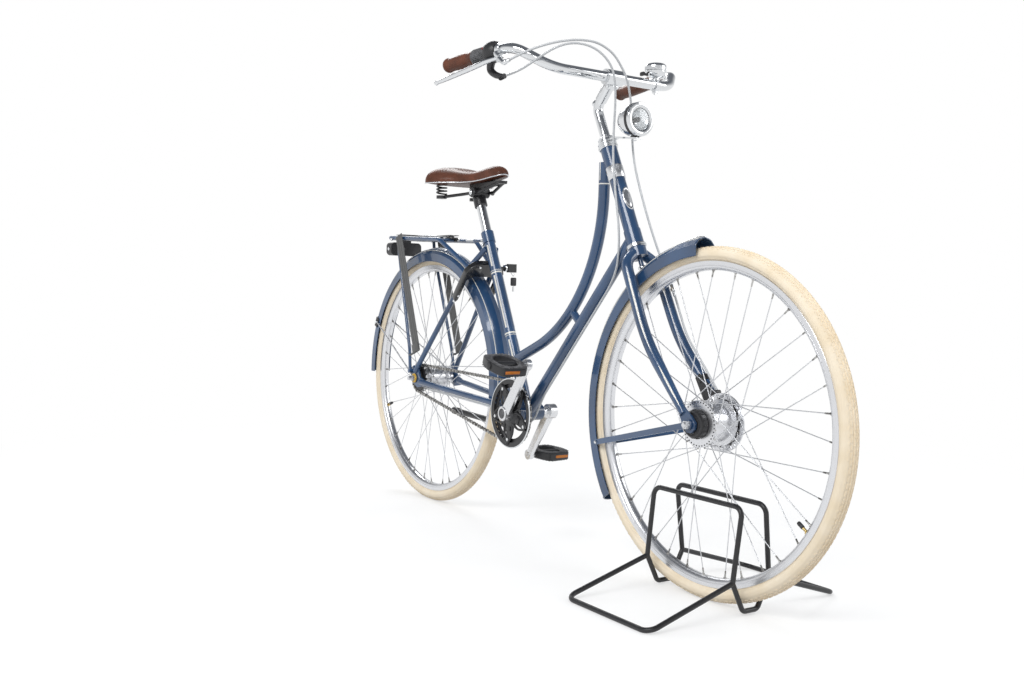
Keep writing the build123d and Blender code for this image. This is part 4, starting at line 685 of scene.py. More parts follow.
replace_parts(lever, "brake_lever")
bm = bmesh.new()
tube(bm, [pivot + Vector((0.006, 0.004, 0)), at(650, -252, 1083), at(620, -259.5, 1076), at(570, -266, 1070),
          at(520, -273, 1064), at(485, -278.5, 1059.5), at(471, -280.5, 1058)], 6.4,
     radii=[0.8, 1.0, 1.1, 1.1, 1.05, 0.95, 0.8])
blade_up = (at(471, -280.5, 1058) - pivot).cross(LEFT).normalized()
flatten = axes(pivot, at(471, -280.5, 1058) - pivot, blade_up)
bmesh.ops.scale(bm, vec=(1.0, 1.0, 0.8), space=flatten.inverted(), verts=bm.verts)
bmesh.ops.create_uvsphere(bm, u_segments=24, v_segments=16, radius=0.0056,
                          matrix=Matrix.Translation(at(473, -280.2, 1058.2)))
piece(bm, "brake_lever_blade", "steering", chrome)

# -------------------------------- bell, stem and headset fittings
BELL_KNURLS = 60
bell = at(757, 122, 1063)
bm = bmesh.new()
turned(bm, [(0, 9), (8, 9), (8, 14), (14, 17), (20, 20), (23, 24), (23.6, 28), (23.6, 30), (0, 30)], bell, UP)
turned(bm, [(11.2, -6), (13.5, -6), (14, -5.4), (14, 5.4), (13.5, 6), (11.2, 6)], bell, LEFT, steps=40,
       loop=True)
block(bm, bell + Vector((0, 0, -0.0155)), (9, 11, 6), bevel=1.2)
nut(bm, bell + Vector((0, 0, -0.018)), -UP, 6, 2)
bell_base = piece(bm, "bell_base", "steering", chrome)
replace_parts(bell_base, "bell")
bm = bmesh.new()
turned(bm, [(0, 30.5), (23.0, 30.5), (24.0, 31.5), (24.0, 40), (23.4, 43), (21, 45.4), (17, 47), (11, 48.2),
            (4, 48.8), (0, 48.9)], bell, UP, steps=96)
for index in range(BELL_KNURLS):
    turn = math.tau * index / BELL_KNURLS
    out = Vector((math.cos(turn), math.sin(turn), 0))
    block(bm, bell + Vector((0, 0, 0.0358)) + out * 0.0239, (0.9, 1.2, 8.5), ahead=out, bevel=0.2, segments=1)
piece(bm, "bell_dome", "steering", chrome)
bm = bmesh.new()
tube(bm, [bell + Vector((-0.004, -0.006, 0.021)), bell + Vector((-0.005, -0.018, 0.022)),
          bell + Vector((-0.007, -0.030, 0.022))], 3.0, sides=4)
block(bm, bell + Vector((-0.007, -0.0325, 0.022)), (13, 7, 9), bevel=2.4)
piece(bm, "bell_thumb_lever", "steering", black_abs)

bm = bmesh.new()
stem_corner = on_steer(341)
rod(bm, stem_corner + STEER_UP * 0.010, stem_corner + STEER_UP * 0.0145, 8.5, 7.6, sides=32)
nut(bm, stem_corner + STEER_UP * 0.0145, STEER_UP, 9, 3)
block(bm, BAR_MIDDLE + Vector((-0.004, 0, -0.0185)), (16, 24, 9), ahead=STEER_AHEAD, up=STEER_UP, bevel=2)
for side in (-1, 1):
    nut(bm, BAR_MIDDLE + Vector((-0.004, side * 0.012, -0.0185)), LEFT * side, 8, 4)
    turned(bm, [(11.1, 21.8), (14.2, 21.8), (14.2, 22.4), (13.6, 23.4), (11.1, 23.4)], BAR_MIDDLE, LEFT * side,
           steps=40, loop=True)
for height, radius in ((-8.2, 20.6), (-4.5, 21.3), (234.2, 19.6), (238, 21.4), (242, 20.4), (246.5, 20.4),
                       (257.5, 17.4)):
    turned(bm, [(radius - 3, height), (radius, height), (radius + 0.7, height + 0.8),
                (radius + 0.7, height + 1.6), (radius, height + 2.4), (radius - 3, height + 2.4)], HEAD_FOOT,
           STEER_UP, loop=True)
piece(bm, "stem_bolts_and_headset_rings", "steering", chrome)

# -------------------------------- cranks, chainring, chain and pedals
CRANK_TILT = math.radians(48.0)
CRANK_LENGTH = 170


def crank_point(side, reach, left):
    """Point on a crank's line, reach millimetres from the bracket axis; side is -1 right, 1 left."""
    return BRACKET + Vector((-side * reach * math.cos(CRANK_TILT), left,
                             -side * reach * math.sin(CRANK_TILT))) / 1000


bm = bmesh.new()
for side in (-1, 1):
    turned(bm, [(0, 78.6), (9.2, 78.6), (9.8, 78.0), (11.4, 78.0), (12.2, 77.2), (12.2, 75), (0, 75)], BRACKET,
           LEFT * side, steps=40)
piece(bm, "crank_dust_caps", "cranks", grey_rubber)
bm = bmesh.new()
for side in (-1, 1):
    eye = crank_point(side, CRANK_LENGTH, 0)
    rod(bm, eye + LEFT * side * 0.0918, eye + LEFT * side * 0.0925, 11.5, 11.0, sides=32)
    rod(bm, eye + LEFT * side * 0.0925, eye + LEFT * side * 0.0975, 8.6, sides=6)
    rod(bm, eye + LEFT * side * 0.0975, eye + LEFT * side * 0.1035, 6.2, 5.2)
    turned(bm, [(3.2, 79.0), (6.2, 79.0), (6.6, 79.4), (6.6, 80.2), (3.2, 80.2)], eye, LEFT * side, steps=24,
           loop=True)
    turned(bm, [(12.3, 76.9), (16.2, 76.9), (17.2, 77.6), (16.2, 78.4), (12.3, 78.4)], BRACKET, LEFT * side,
           steps=48, loop=True)
piece(bm, "crank_spindle_flats", "cranks", polished_alloy)

SPIDER_TURNS = [48 + 72 * index for index in range(5)]
SPIDER_ARC = [(26, 34), (44, 27), (60, 13), (75, 0)]
bm = bmesh.new()
turned(bm, [(82.4, -52.9), (84.6, -52.9), (85.2, -53.5), (85.2, -54.6), (84.6, -55.2), (82.4, -55.2)], BRACKET,
       LEFT, steps=96, loop=True)
for turn in SPIDER_TURNS:
    centre = round_axle(BRACKET, 65.5, turn, -54.6)
    rod(bm, centre, centre - LEFT * 0.0022, 4.6, 4.2, sides=20)
piece(bm, "chainring_guard_rim", "cranks", chrome)
bm = bmesh.new()
turned(bm, [(71, -52.2), (82.2, -52.6), (82.2, -54.4), (71, -54.4)], BRACKET, LEFT, steps=96, loop=True)
turned(bm, [(18.2, -50), (33, -50), (33, -55.0), (29, -57.0), (18.2, -58.4)], BRACKET, LEFT, loop=True)
for turn in SPIDER_TURNS:
    for side in (1, -1):
        arc = [round_axle(BRACKET, reach, turn + side * swing, -54.2) for reach, swing in SPIDER_ARC]
        tube(bm, arc, 3.2, sides=3, radii=[1.4, 0.85, 0.85, 1.4])
    block(bm, round_axle(BRACKET, 33, turn, -54.6), (20, 17, 3.4), ahead=outward(turn), up=LEFT, bevel=1.2)
piece(bm, "chainring_spider_ribs", "cranks", black_powder)

# chain: 102 links along the two straight runs and round both toothed wheels
CHAIN_RING, CHAIN_SPROCKET, CHAIN_LINKS, CHAIN_LEFT = 76.9, 38.6, 102, -48
run = BRACKET - REAR_AXLE
run_turn = math.atan2(run.z, run.x)
run_lean = math.acos((CHAIN_RING - CHAIN_SPROCKET) / (run.length * 1000))
run_straight = run.length * 1000 * math.sin(run_lean)
ring_arc = CHAIN_RING * (math.tau - 2 * run_lean)
sprocket_arc = CHAIN_SPROCKET * 2 * run_lean
chain_length = 2 * run_straight + ring_arc + sprocket_arc


def chain_place(distance):
    """Point on the chain's pitch line, distance millimetres from where it leaves the sprocket at the top."""
    distance %= chain_length
    top, low = run_turn + run_lean, run_turn - run_lean
    starts = {turn: (round_axle(REAR_AXLE, CHAIN_SPROCKET, math.degrees(turn), CHAIN_LEFT),
                     round_axle(BRACKET, CHAIN_RING, math.degrees(turn), CHAIN_LEFT)) for turn in (top, low)}
    if distance < run_straight:
        return starts[top][0].lerp(starts[top][1], distance / run_straight)
    distance -= run_straight
    if distance < ring_arc:
        return round_axle(BRACKET, CHAIN_RING, math.degrees(top - distance / CHAIN_RING), CHAIN_LEFT)
    distance -= ring_arc
    if distance < run_straight:
        return starts[low][1].lerp(starts[low][0], distance / run_straight)
    distance -= run_straight
    return round_axle(REAR_AXLE, CHAIN_SPROCKET, math.degrees(low - distance / CHAIN_SPROCKET), CHAIN_LEFT)


bm = bmesh.new()
for index in range(CHAIN_LINKS):
    first = chain_place(chain_length * index / CHAIN_LINKS)
    second = chain_place(chain_length * (index + 1) / CHAIN_LINKS)
    rod(bm, first - LEFT * 0.0017, first + LEFT * 0.0017, 3.9, sides=10)
    rod(bm, first - LEFT * 0.0038, first + LEFT * 0.0038, 1.7, sides=6)
    reach = 2.6 if index % 2 else 2.0
    for side in (-1, 1):
        offset = LEFT * side * reach / 1000
        block(bm, (first + second) / 2 + offset, (13.6, 5.6, 0.7), ahead=second - first, up=LEFT)
        for end in (first, second):
            rod(bm, end + offset - LEFT * 0.00035, end + offset + LEFT * 0.00035, 4.0, sides=10)
chain = piece(bm, "chain_links", "frame", oiled_steel)
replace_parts(chain, "chain")

# The pedal's six sides and its ends, as directions in degrees and distances from its middle.
PEDAL_EDGES = [(0, 46), (71, 46.2), (90, 44), (109, 46.2), (180, 46), (251, 46.2), (270, 44), (289, 46.2)]
PEDAL_CORNER = 14
PEDAL_OPENING = (33, 27)
PEDAL_STEPS = 64
PEDAL_RIBS = 36
# Sections of the pedal's body and of its tread: whether a point is on the outer edge, its inset and its height.
PEDAL_BODY = [(1, 1.4, -10), (1, 0, -8.6), (1, 0, 8.6), (1, 1.4, 10), (0, 1.8, 10), (0, 0, 8.5), (0, 0, -8.5),
              (0, 1.8, -10)]
PEDAL_TREAD = [(1, 1.6, 9.4), (1, 2.2, 10.4), (0, 2.4, 10.4), (0, 2.0, 9.4)]


def pedal_reach(turn):
    """Distance from a pedal's middle to its six-sided edge, corners rounded."""
    total = sum(max(math.cos(turn - math.radians(edge)), 0.0) ** PEDAL_CORNER / reach ** PEDAL_CORNER
                for edge, reach in PEDAL_EDGES)
    return total ** (-1 / PEDAL_CORNER)


def pedal_opening(turn):
    """Distance from a pedal's middle to the edge of its oval opening."""
    return 1 / math.hypot(math.cos(turn) / PEDAL_OPENING[0], math.sin(turn) / PEDAL_OPENING[1])


def pedal_shell(section, faces_up):
    """Closed ring with a section between a pedal's edge and its opening, on its upper and lower face."""
    bm = bmesh.new()
    for flip in faces_up:
        rings = []
        for outer, inset, height in section:
            ring = []
            for turn in (math.tau * index / PEDAL_STEPS for index in range(PEDAL_STEPS)):
                reach = pedal_reach(turn) - inset if outer else pedal_opening(turn) + inset
                ring.append(bm.verts.new(Vector((reach * math.cos(turn), reach * math.sin(turn),
                                                 height * flip)) / 1000))
            rings.append(ring)
        for ring, following in zip(rings, rings[1:] + rings[:1]):
            for index in range(-1, PEDAL_STEPS - 1):
                bm.faces.new((ring[index], ring[index + 1], following[index + 1], following[index]))
    bmesh.ops.remove_doubles(bm, verts=bm.verts, dist=1e-6)
    bmesh.ops.recalc_face_normals(bm, faces=bm.faces)
    return bm


def pedal(name, side, tilt):
    """Six-sided pedal: a body with an oval opening and a barrel across it, a ribbed tread and reflectors."""
    spin = Matrix.Rotation(math.radians(tilt), 4, "Y")
    place = (Matrix.Translation(crank_point(side, CRANK_LENGTH, 0)) @ spin
             @ Matrix.Translation((0, side * 0.148, 0)))
    bm = pedal_shell(PEDAL_BODY, (1,))
    rod(bm, LEFT * -0.041, LEFT * 0.041, 9.3, sides=32)
    for ahead in (-1, 1):
        block(bm, AHEAD * ahead * 0.0463, (1.6, 56, 13), bevel=0.5)
    turned(bm, [(0, 46.4), (7.5, 46.4), (9.3, 45), (9.6, 42), (0, 42)], Vector(), LEFT * side, steps=32)
    bmesh.ops.transform(bm, matrix=place, verts=bm.verts)
    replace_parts(piece(bm, f"{name}_ring", name, black_abs, crease=40), name)
    bm = pedal_shell(PEDAL_TREAD, (1, -1))
    for turn in (math.tau * index / PEDAL_RIBS for index in range(PEDAL_RIBS)):
        edge, opening = pedal_reach(turn), pedal_opening(turn)
        out = Vector((math.cos(turn), math.sin(turn), 0))
        slant = Matrix.Rotation(0.75, 3, "Z") @ out
        for flip in (1, -1):
            block(bm, out * (edge + opening) / 2000 + UP * 0.0108 * flip, ((edge - opening) * 1.02, 3.4, 1.9),
                  ahead=slant, bevel=0.5, segments=1)
    bmesh.ops.transform(bm, matrix=place, verts=bm.verts)
    piece(bm, f"{name}_tread", name, grey_rubber, crease=40)
    bm = bmesh.new()
    for ahead in (-1, 1):
        block(bm, Vector((ahead * 0.0473, side * 0.008, 0)), (2.0, 38, 7), bevel=0.7)
    bmesh.ops.transform(bm, matrix=place, verts=bm.verts)
    piece(bm, f"{name}_reflectors", name, amber_lens)


pedal("pedal_right", -1, 17)
pedal("pedal_left", 1, 4)

# -------------------------------- headlamp and rear light
lamp_face = at(856, 0, 962)
bm = bmesh.new()
turned(bm, [(0, -64), (6.5, -63.6), (8, -62), (8.4, -58), (18, -55.5), (27, -47), (33, -34), (35.2, -22),
            (35.4, -16.2), (33, -16), (31, -22), (20, -40), (0, -44)], lamp_face, AHEAD, steps=72)
turned(bm, [(34.4, -8), (36, -7.2), (36, -3.4), (34.8, -1.4), (31, -0.4), (26.5, -1.0), (24.0, -2.4),
            (23.4, -4.4), (31, -7)], lamp_face, AHEAD, steps=96, loop=True)
rod(bm, at(836, 0, 924), at(836, 0, 931), 6.6, sides=32)
nut(bm, at(836, 0, 919.8), -UP, 9, 0.5)
lamp_shell = piece(bm, "headlamp_shell", "steering", chrome)
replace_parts(lamp_shell, "headlamp")
bm = bmesh.new()
turned(bm, [(33, -16), (35.8, -15.8), (36, -15), (36, -9), (35.6, -8), (33, -8)], lamp_face, AHEAD, steps=72,
       loop=True)
rod(bm, lamp_face - AHEAD * 0.021, lamp_face - AHEAD * 0.0105, 6.2, 5.0)
block(bm, at(836, 0, 927.5), (13, 15, 6), bevel=1.5)
piece(bm, "headlamp_band", "steering", black_abs)
bm = bmesh.new()
turned(bm, [(23.6, -4.2), (22.5, -7), (19.5, -11), (15, -15), (9, -18), (0, -19.5)], lamp_face, AHEAD, steps=18)
piece(bm, "headlamp_reflector", "steering", chrome, crease=4)
bm = bmesh.new()
turned(bm, [(0, -1.4), (9, -1.6), (17, -2.2), (23.5, -3.2), (23.5, -5.0), (17, -4.0), (9, -3.4), (0, -3.2)],
       lamp_face, AHEAD, steps=72)
piece(bm, "headlamp_lens", "steering", clear_lens)

bm = bmesh.new()
block(bm, at(-214.6, 0, 709), (3.2, 84, 27), bevel=1.4)
rod(bm, at(-216.4, 0, 709), at(-215.8, 0, 709), 9, sides=40)
piece(bm, "rear_light_lens", "frame", red_lens)
bm = bmesh.new()
for side in (-1, 1):
    turned(bm, [(0, 52.2), (4.4, 52), (5.4, 51.2), (5.6, 49.6), (0, 49.6)], at(-199, 0, 709), LEFT * side,
           steps=32)
piece(bm, "rear_light_screws", "frame", chrome)

# -------------------------------- head band, badge, linings
bm = bmesh.new()
turned(bm, [(17.1, 158), (18.6, 158), (19.3, 159), (19.3, 187), (18.9, 188), (18.4, 188)], HEAD_FOOT, STEER_UP,
       steps=72, loop=True)
piece(bm, "head_tube_band", "frame", polished_alloy)
BADGE_WRAP = 17.0
bm = bmesh.new()
turned(bm, [(0, 2.0), (5, 1.9), (8.8, 1.5), (9.2, 0.9), (10.4, 0.9), (10.9, 1.5), (12, 1.3), (12.6, 0.2),
            (12.4, 0)], Vector(), UP)
for vert in bm.verts:
    turn, along, reach = vert.co.x * 1000 / 17.5, vert.co.y * 2160, BADGE_WRAP + vert.co.z * 1000
    vert.co = on_steer(104.5 + along, reach * math.sin(turn), reach * math.cos(turn))
bmesh.ops.recalc_face_normals(bm, faces=bm.faces)
piece(bm, "head_badge_blank", "frame", polished_alloy)

LINING_TURN = math.radians(26)
bm = bmesh.new()
for low, high, radius in ((372, 376, 14.3), (379, 380.5, 14.3), (205, 209, 14.3), (200.5, 202, 14.3)):
    turned(bm, [(radius - 0.6, low), (radius + 0.15, low), (radius + 0.25, low + 0.3),
                (radius + 0.25, high - 0.3), (radius + 0.15, high), (radius - 0.6, high)], BRACKET, SEAT_UP,
           loop=True)
for side in (-1, 1):
    out = LEFT * side * math.cos(LINING_TURN) + SEAT_AHEAD * math.sin(LINING_TURN)
    for low, high in ((222, 366), (392, 452), (60, 190)):
        block(bm, on_seat((low + high) / 2) + out * 0.0143, (high - low, 4.2, 0.6), ahead=SEAT_UP, up=out)
piece(bm, "seat_tube_lining", "frame", white_lacquer)

swan_x = on_steer(234).x - 0.0124
swan_top = on_steer(234).z - 0.027
swan_low = 0.842
bm = bmesh.new()
turned(bm, [(12.3, -1.3), (12.85, -1.3), (12.95, -1), (12.95, 1), (12.85, 1.3), (12.3, 1.3)],
       Vector((swan_x, 0, 0.834)), UP, loop=True)
for side in (-1, 1):
    block(bm, Vector((swan_x, side * 0.0127, (swan_low + swan_top) / 2)),
          ((swan_top - swan_low) * 1000, 2.4, 0.5), ahead=UP, up=LEFT * side)
piece(bm, "swan_tube_lining", "frame", white_lacquer)

knee = on_steer(-218, 46)
knee_way = (knee - FRONT_AXLE - LEFT * 0.053).normalized()
knee_ahead = knee_way.cross(LEFT).normalized() * (1 if knee_way.cross(LEFT).x > 0 else -1)
BLADE_TURN = math.radians(36)
bm = bmesh.new()
for side in (-1, 1):
    flip = Vector((1, side, 1))
    out_high = LEFT * math.cos(BLADE_TURN) + STEER_AHEAD * math.sin(BLADE_TURN)
    out_low = LEFT * math.cos(BLADE_TURN) + knee_ahead * math.sin(BLADE_TURN)
    line = [(on_steer(height, 42 + 4 * (-42 - height) / 176) + out_high * 0.0089) * flip
            for height in (-60, -84, -120)]
    line.append((knee + (out_high + out_low).normalized() * 0.0089) * flip)
    for along in (98, 136, 172):
        line.append((knee - knee_way * along / 1000 + out_low * (8.9 - 3.5 * (along - 62) / 122) / 1000) * flip)
    tube(bm, line, 3.6, sides=4, radii=[0.84, 1.0, 1.0, 1.0, 1.0, 1.0, 0.84])
piece(bm, "fork_lining", "steering", white_lacquer)

# Radius of the fenders' crest, and the distance from the middle where their side begins.
FENDER_RADIUS, FENDER_SHOULDER = 365, 16.1


def fender_skin(left):
    """Radius of a fender's outer skin at a distance from its middle plane."""
    left = abs(left)
    if left < FENDER_SHOULDER:
        return FENDER_RADIUS - 5 * left / FENDER_SHOULDER
    return FENDER_RADIUS - 5 - 12 * (left - FENDER_SHOULDER) / 9.9


for name, axle, body, first, last in (("front", FRONT_AXLE, "steering", 96.5, 212),
                                      ("rear", REAR_AXLE, "frame", -4, 179)):
    bm = bmesh.new()
    for side in (-1, 1):
        line = []
        for step in range(41):
            turn = first + (last - first) * step / 40
            left = 18.5 * (min(1.0, math.sqrt((turn - 96.0) / 12)) if name == "front" else 1)
            line.append(round_axle(axle, fender_skin(left) - 0.55, turn, side * left))
        tube(bm, line, 1.25, sides=2)
    piece(bm, f"{name}_fender_lining", body, white_lacquer)
    bm = bmesh.new()
    for turn in (first - (1.5 if name == "front" else 2), last + 2):
        edge = [round_axle(axle, fender_skin(left) - 0.7, turn, left)
                for left in (-26, -21, -16, -8, 0, 8, 16, 21, 26)]
        right_end, left_end = (round_axle(axle, 327.5, turn, side * 25.3) for side in (-1, 1))
        tube(bm, [right_end, *edge, left_end], 1.5, sides=3)
    for side in (-1, 1):
        rim_line = [round_axle(axle, 327.6, first - 1 + (last - first + 2) * step / 30, side * 25.3)
                    for step in range(31)]
        tube(bm, rim_line, 1.2, sides=2)
    piece(bm, f"{name}_fender_rolled_edge", body, blue_enamel)

bm = bmesh.new()
spear = [round_axle(FRONT_AXLE, 365.0, turn, 0) for turn in (94.6, 96, 98.5, 102, 105, 107.5)]
tube(bm, spear, 3.6, radii=[0.15, 0.7, 1.0, 0.9, 0.5, 0.08])
nut(bm, on_steer(-57, 0, -1.0), -STEER_UP, 8, 0.1)
turned(bm, [(5.2, -56), (8.5, -56), (9.2, -55), (9.2, -52), (8.5, -51), (5.2, -51)], HEAD_FOOT, STEER_UP,
       steps=36, loop=True)
piece(bm, "fender_spear_and_bolt", "steering", chrome)


# -------------------------------- carrier straps, spring bar and link
def on_rail(ahead, left=0.0, up=0.0):
    """Point over the carrier's sloping top, in millimetres."""
    return at(ahead, left, 740 - 13 * (ahead + 190) / 302 + up)


bm = bmesh.new()
for side in (-1, 1):
    foot, top = at(18, side * 70.5, 420), at(-104, side * 65.3, 744.3)
    way = top - foot
    across = Vector((way.z, 0, -way.x)).normalized()
    for strip in (-12.2, 0, 12.2):
        block(bm, (foot + top) / 2 + across * strip / 1000, (way.length * 1000, 11.2, 2.0), ahead=way,
              up=LEFT * side, bevel=0.6, segments=1)
    block(bm, foot + way * 0.03, (26, 37, 4.5), ahead=way, up=LEFT * side, bevel=1.4)
    block(bm, foot + way * 0.86, (7, 37.5, 3.6), ahead=way, up=LEFT * side, bevel=1.0)
    for strip in (-11, 11):
        tube(bm, [foot + across * strip / 1000 + way * 0.01,
                  foot + Vector((-0.012, side * 0.002, -0.006)) + across * strip / 1000,
                  foot + Vector((-0.026, side * 0.001, -0.011)) + across * strip / 2000,
                  at(-18, side * 71, 409)], 2.2, sides=3)
for strip in (-12.2, 0, 12.2):
    block(bm, at(-104 + strip, 0, 745.6), (11.2, 133, 2.0), bevel=0.6, segments=1)
for strip in (-9, 9):
    start, end = at(-104, strip, 744.8), at(92, strip, 737.2)
    block(bm, (start + end) / 2, ((end - start).length * 1000, 11.5, 2.0), ahead=end - start, bevel=0.6,
          segments=1)
straps = piece(bm, "carrier_strap_bands", "frame", woven_elastic)
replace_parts(straps, "carrier_straps")

bm = bmesh.new()
tube(bm, [on_rail(-104, -13, 9), on_rail(-60, -13, 9.6), on_rail(10, -13, 10), on_rail(72, -12, 8),
          on_rail(99, -10, 5)], 2.1, sides=4)
rod(bm, at(113, 0, 727.5), at(268, 0, 722.6), 3.4)
for start, end, radius in ((113, 128, 5.0), (160, 198, 4.5), (236, 252, 5.2)):
    rod(bm, at(start, 0, 727.5 - (start - 113) * 0.0316), at(end, 0, 727.5 - (end - 113) * 0.0316), radius)
clamp_centre = on_seat(466)
ear = clamp_centre - SEAT_AHEAD * 0.0205
block(bm, ear, (14, 9, 11), ahead=SEAT_AHEAD, up=SEAT_UP, bevel=1.2)
nut(bm, ear - LEFT * 0.0045 - SEAT_AHEAD * 0.002, -LEFT, 8, 4)
nut(bm, ear + LEFT * 0.0045 - SEAT_AHEAD * 0.002, LEFT, 8, 4)
rod(bm, on_seat(466, 0, -26), at(266, 0, 722.7), 4.0, sides=20)
for side in (-1, 1):
    nut(bm, at(-150, side * 65.2, 734), LEFT * side, 8, 3)
piece(bm, "carrier_link_and_spring_bar", "frame", chrome)
bm = bmesh.new()
block(bm, on_rail(96, -10, 4.5), (36, 22, 5), bevel=1.6)
block(bm, on_rail(88, -10, 8), (14, 18, 5), bevel=1.6)
block(bm, at(107, 0, 727.8), (15, 15, 9), bevel=1.6)
piece(bm, "carrier_spring_clip", "frame", black_abs)

# -------------------------------- ring lock, its key and the spare
STAY_WAY = Vector((0.6283, 0, 0.7780))
STAY_FRONT = Vector((0.7780, 0, -0.6283))


def on_lock(left, reach, depth):
    """Point in the ring lock: left, out from the rear axle, and forward from its back face."""
    return REAR_AXLE + STAY_WAY * reach / 1000 + STAY_FRONT * (depth - 1.6) / 1000 + LEFT * left / 1000


# The lock's horseshoe outline, left half: left and reach.
half = [(20, 418), (37, 414), (50, 403), (58, 386), (58.6, 340), (58.6, 297), (52.5, 288), (46.5, 297),
        (46.5, 362), (30, 375)]
outline = half + [(-left, reach) for left, reach in half[::-1]]
bm = bmesh.new()
place = Matrix((LEFT, STAY_WAY, STAY_FRONT)).transposed().to_4x4()
place.translation = REAR_AXLE + STAY_FRONT * 0.0069
plate(bm, outline, place, 17, bevel=2.6, segments=3)
for side in (-1, 1):
    block(bm, on_lock(side * 52.5, 330, 17.6), (44, 9, 2.4), ahead=STAY_WAY, up=STAY_FRONT, bevel=1.0)
    block(bm, on_lock(side * 30, 398, 17.4), (26, 22, 2.6), ahead=LEFT, up=STAY_FRONT, bevel=1.1)
lock = piece(bm, "ring_lock_shell", "frame", black_lacquer, crease=42)
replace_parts(lock, "ring_lock")
bm = bmesh.new()
turned(bm, [(0, 0), (8.6, 0), (9.4, 1), (9.4, 4), (6.4, 5.2), (6.0, 4.2), (0, 4.2)], on_lock(57, 402, 8.5),
       LEFT, steps=40)
rod(bm, on_lock(-51.8, 291, 8.5), on_lock(-51.8, 284, 8.5), 3.4, 3.0)
rod(bm, on_lock(51.8, 291, 8.5), on_lock(51.8, 287.5, 8.5), 4.6, 4.2)
for left, reach in ((-24, 407), (24, 407), (-53, 312), (53, 312)):
    rod(bm, on_lock(left, reach, 16.5), on_lock(left, reach, 19.4), 3.4, 2.9, sides=20)
rod(bm, on_lock(60, 402, 8.5), on_lock(68, 402, 8.5), 2.6, sides=16)
key_middle = at(258, 80, 653.4)
tube(bm, [key_middle + Vector((0.001, -0.004, -0.009)), key_middle + Vector((0.004, 0.000, -0.019)),
          key_middle + Vector((0.004, 0.004, -0.022)), key_middle + Vector((0.003, 0.006, -0.014))], 0.9,
     sides=3)
spare_head = at(262, 84, 616)
block(bm, spare_head + Vector((0, 0, -0.017)), (1.4, 5, 14), bevel=0.3, segments=1)
piece(bm, "ring_lock_metal", "frame", chrome)
bm = bmesh.new()
block(bm, key_middle, (8, 24, 21), bevel=3.9, segments=4)
block(bm, spare_head + Vector((0, 0, 0.002)), (6.5, 17, 22), bevel=3.0, segments=3)
piece(bm, "lock_key_heads", "frame", black_abs)

# -------------------------------- clamps, clips and fittings round the frame
CLAMP_TURN = 155.3
bm = bmesh.new()
for turn in (CLAMP_TURN - 2.1, CLAMP_TURN + 2.1):
    strip = [round_axle(REAR_AXLE, fender_skin(left) + 1.3, turn, left)
             for left in (-25, -21, -14, -5, 0, 5, 14, 21, 25)]
    right_end, left_end = (round_axle(REAR_AXLE, 341, turn, side * 26.6) for side in (-1, 1))
    tube(bm, [right_end, *strip, left_end], 2.2, sides=3)
for side in (-1, 1):
    block(bm, round_axle(REAR_AXLE, 345, CLAMP_TURN, side * 27.0), (16, 30, 4.0), ahead=outward(CLAMP_TURN),
          up=LEFT * side, bevel=1.2)
block(bm, round_axle(REAR_AXLE, 367.2, CLAMP_TURN, 0), (4.5, 15, 24), ahead=outward(CLAMP_TURN), bevel=1.6)
block(bm, at(372, -38, 294), (7, 8, 20), bevel=1.2)
piece(bm, "fender_clamps", "frame", black_abs)
bm = bmesh.new()
for side in (-1, 1):
    nut(bm, round_axle(REAR_AXLE, 345, CLAMP_TURN, side * 29.0), LEFT * side, 8, 3)
    nut(bm, at(-312, side * 29.6, 491), LEFT * side, 7, 2.5)
nut(bm, at(372, -42, 290), -LEFT, 7, 3)
piece(bm, "fender_clamp_nuts", "frame", chrome)

bm = bmesh.new()
for height, length, radius in ((-90, 16, 4.1), (-108, 7, 5.4), (-117, 10, 3.6)):
    rod(bm, on_steer(height, 50.2, 18.8), on_steer(height - length, 50.3, 18.6), radius, radius * 0.94)
for side in (-1, 1):
    nut(bm, at(771, side * 29.6, 267.4), LEFT * side, 7, 2.5)
piece(bm, "cable_adjuster_and_stay_nuts", "steering", chrome)

# The first length of the shift cable, between the handlebar and the down tube's clip, as one fixed piece. Its
# points are in millimetres from the handlebar's middle.
shift_way = [(-89, -219, -10), (-51, -214, -7), (-5, -200, 13), (21, -176, 35), (41, -146, 47), (59, -110, 43),
             (70, -78, 23), (71, -54, -7), (53, -34, -59), (34, -22, -121), (35, -22, -187), (51, -25, -261),
             (66, -25, -331), (60, -19, -383), (42, -10, -423), (24.6, -6.5, -442.5)]
bm = bmesh.new()
tube(bm, [BAR_MIDDLE + Vector(point) / 1000 for point in shift_way], 2.4, sides=3)
shift_bend = piece(bm, "shift_cable_bend", "frame", grey_pvc, bend=(at(799, 0, 668), at(799, 0, 1010)))
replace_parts(shift_bend, "shift_cable_loop")

# -------------------------------- floor, light and camera
WHITE = (1.0, 1.0, 1.0, 1.0)
floor_mesh = bpy.data.meshes.new("floor")
bm = bmesh.new()
bmesh.ops.create_grid(bm, x_segments=1, y_segments=1, size=60.0)
bm.to_mesh(floor_mesh)
bm.free()
floor = put("floor", floor_mesh)
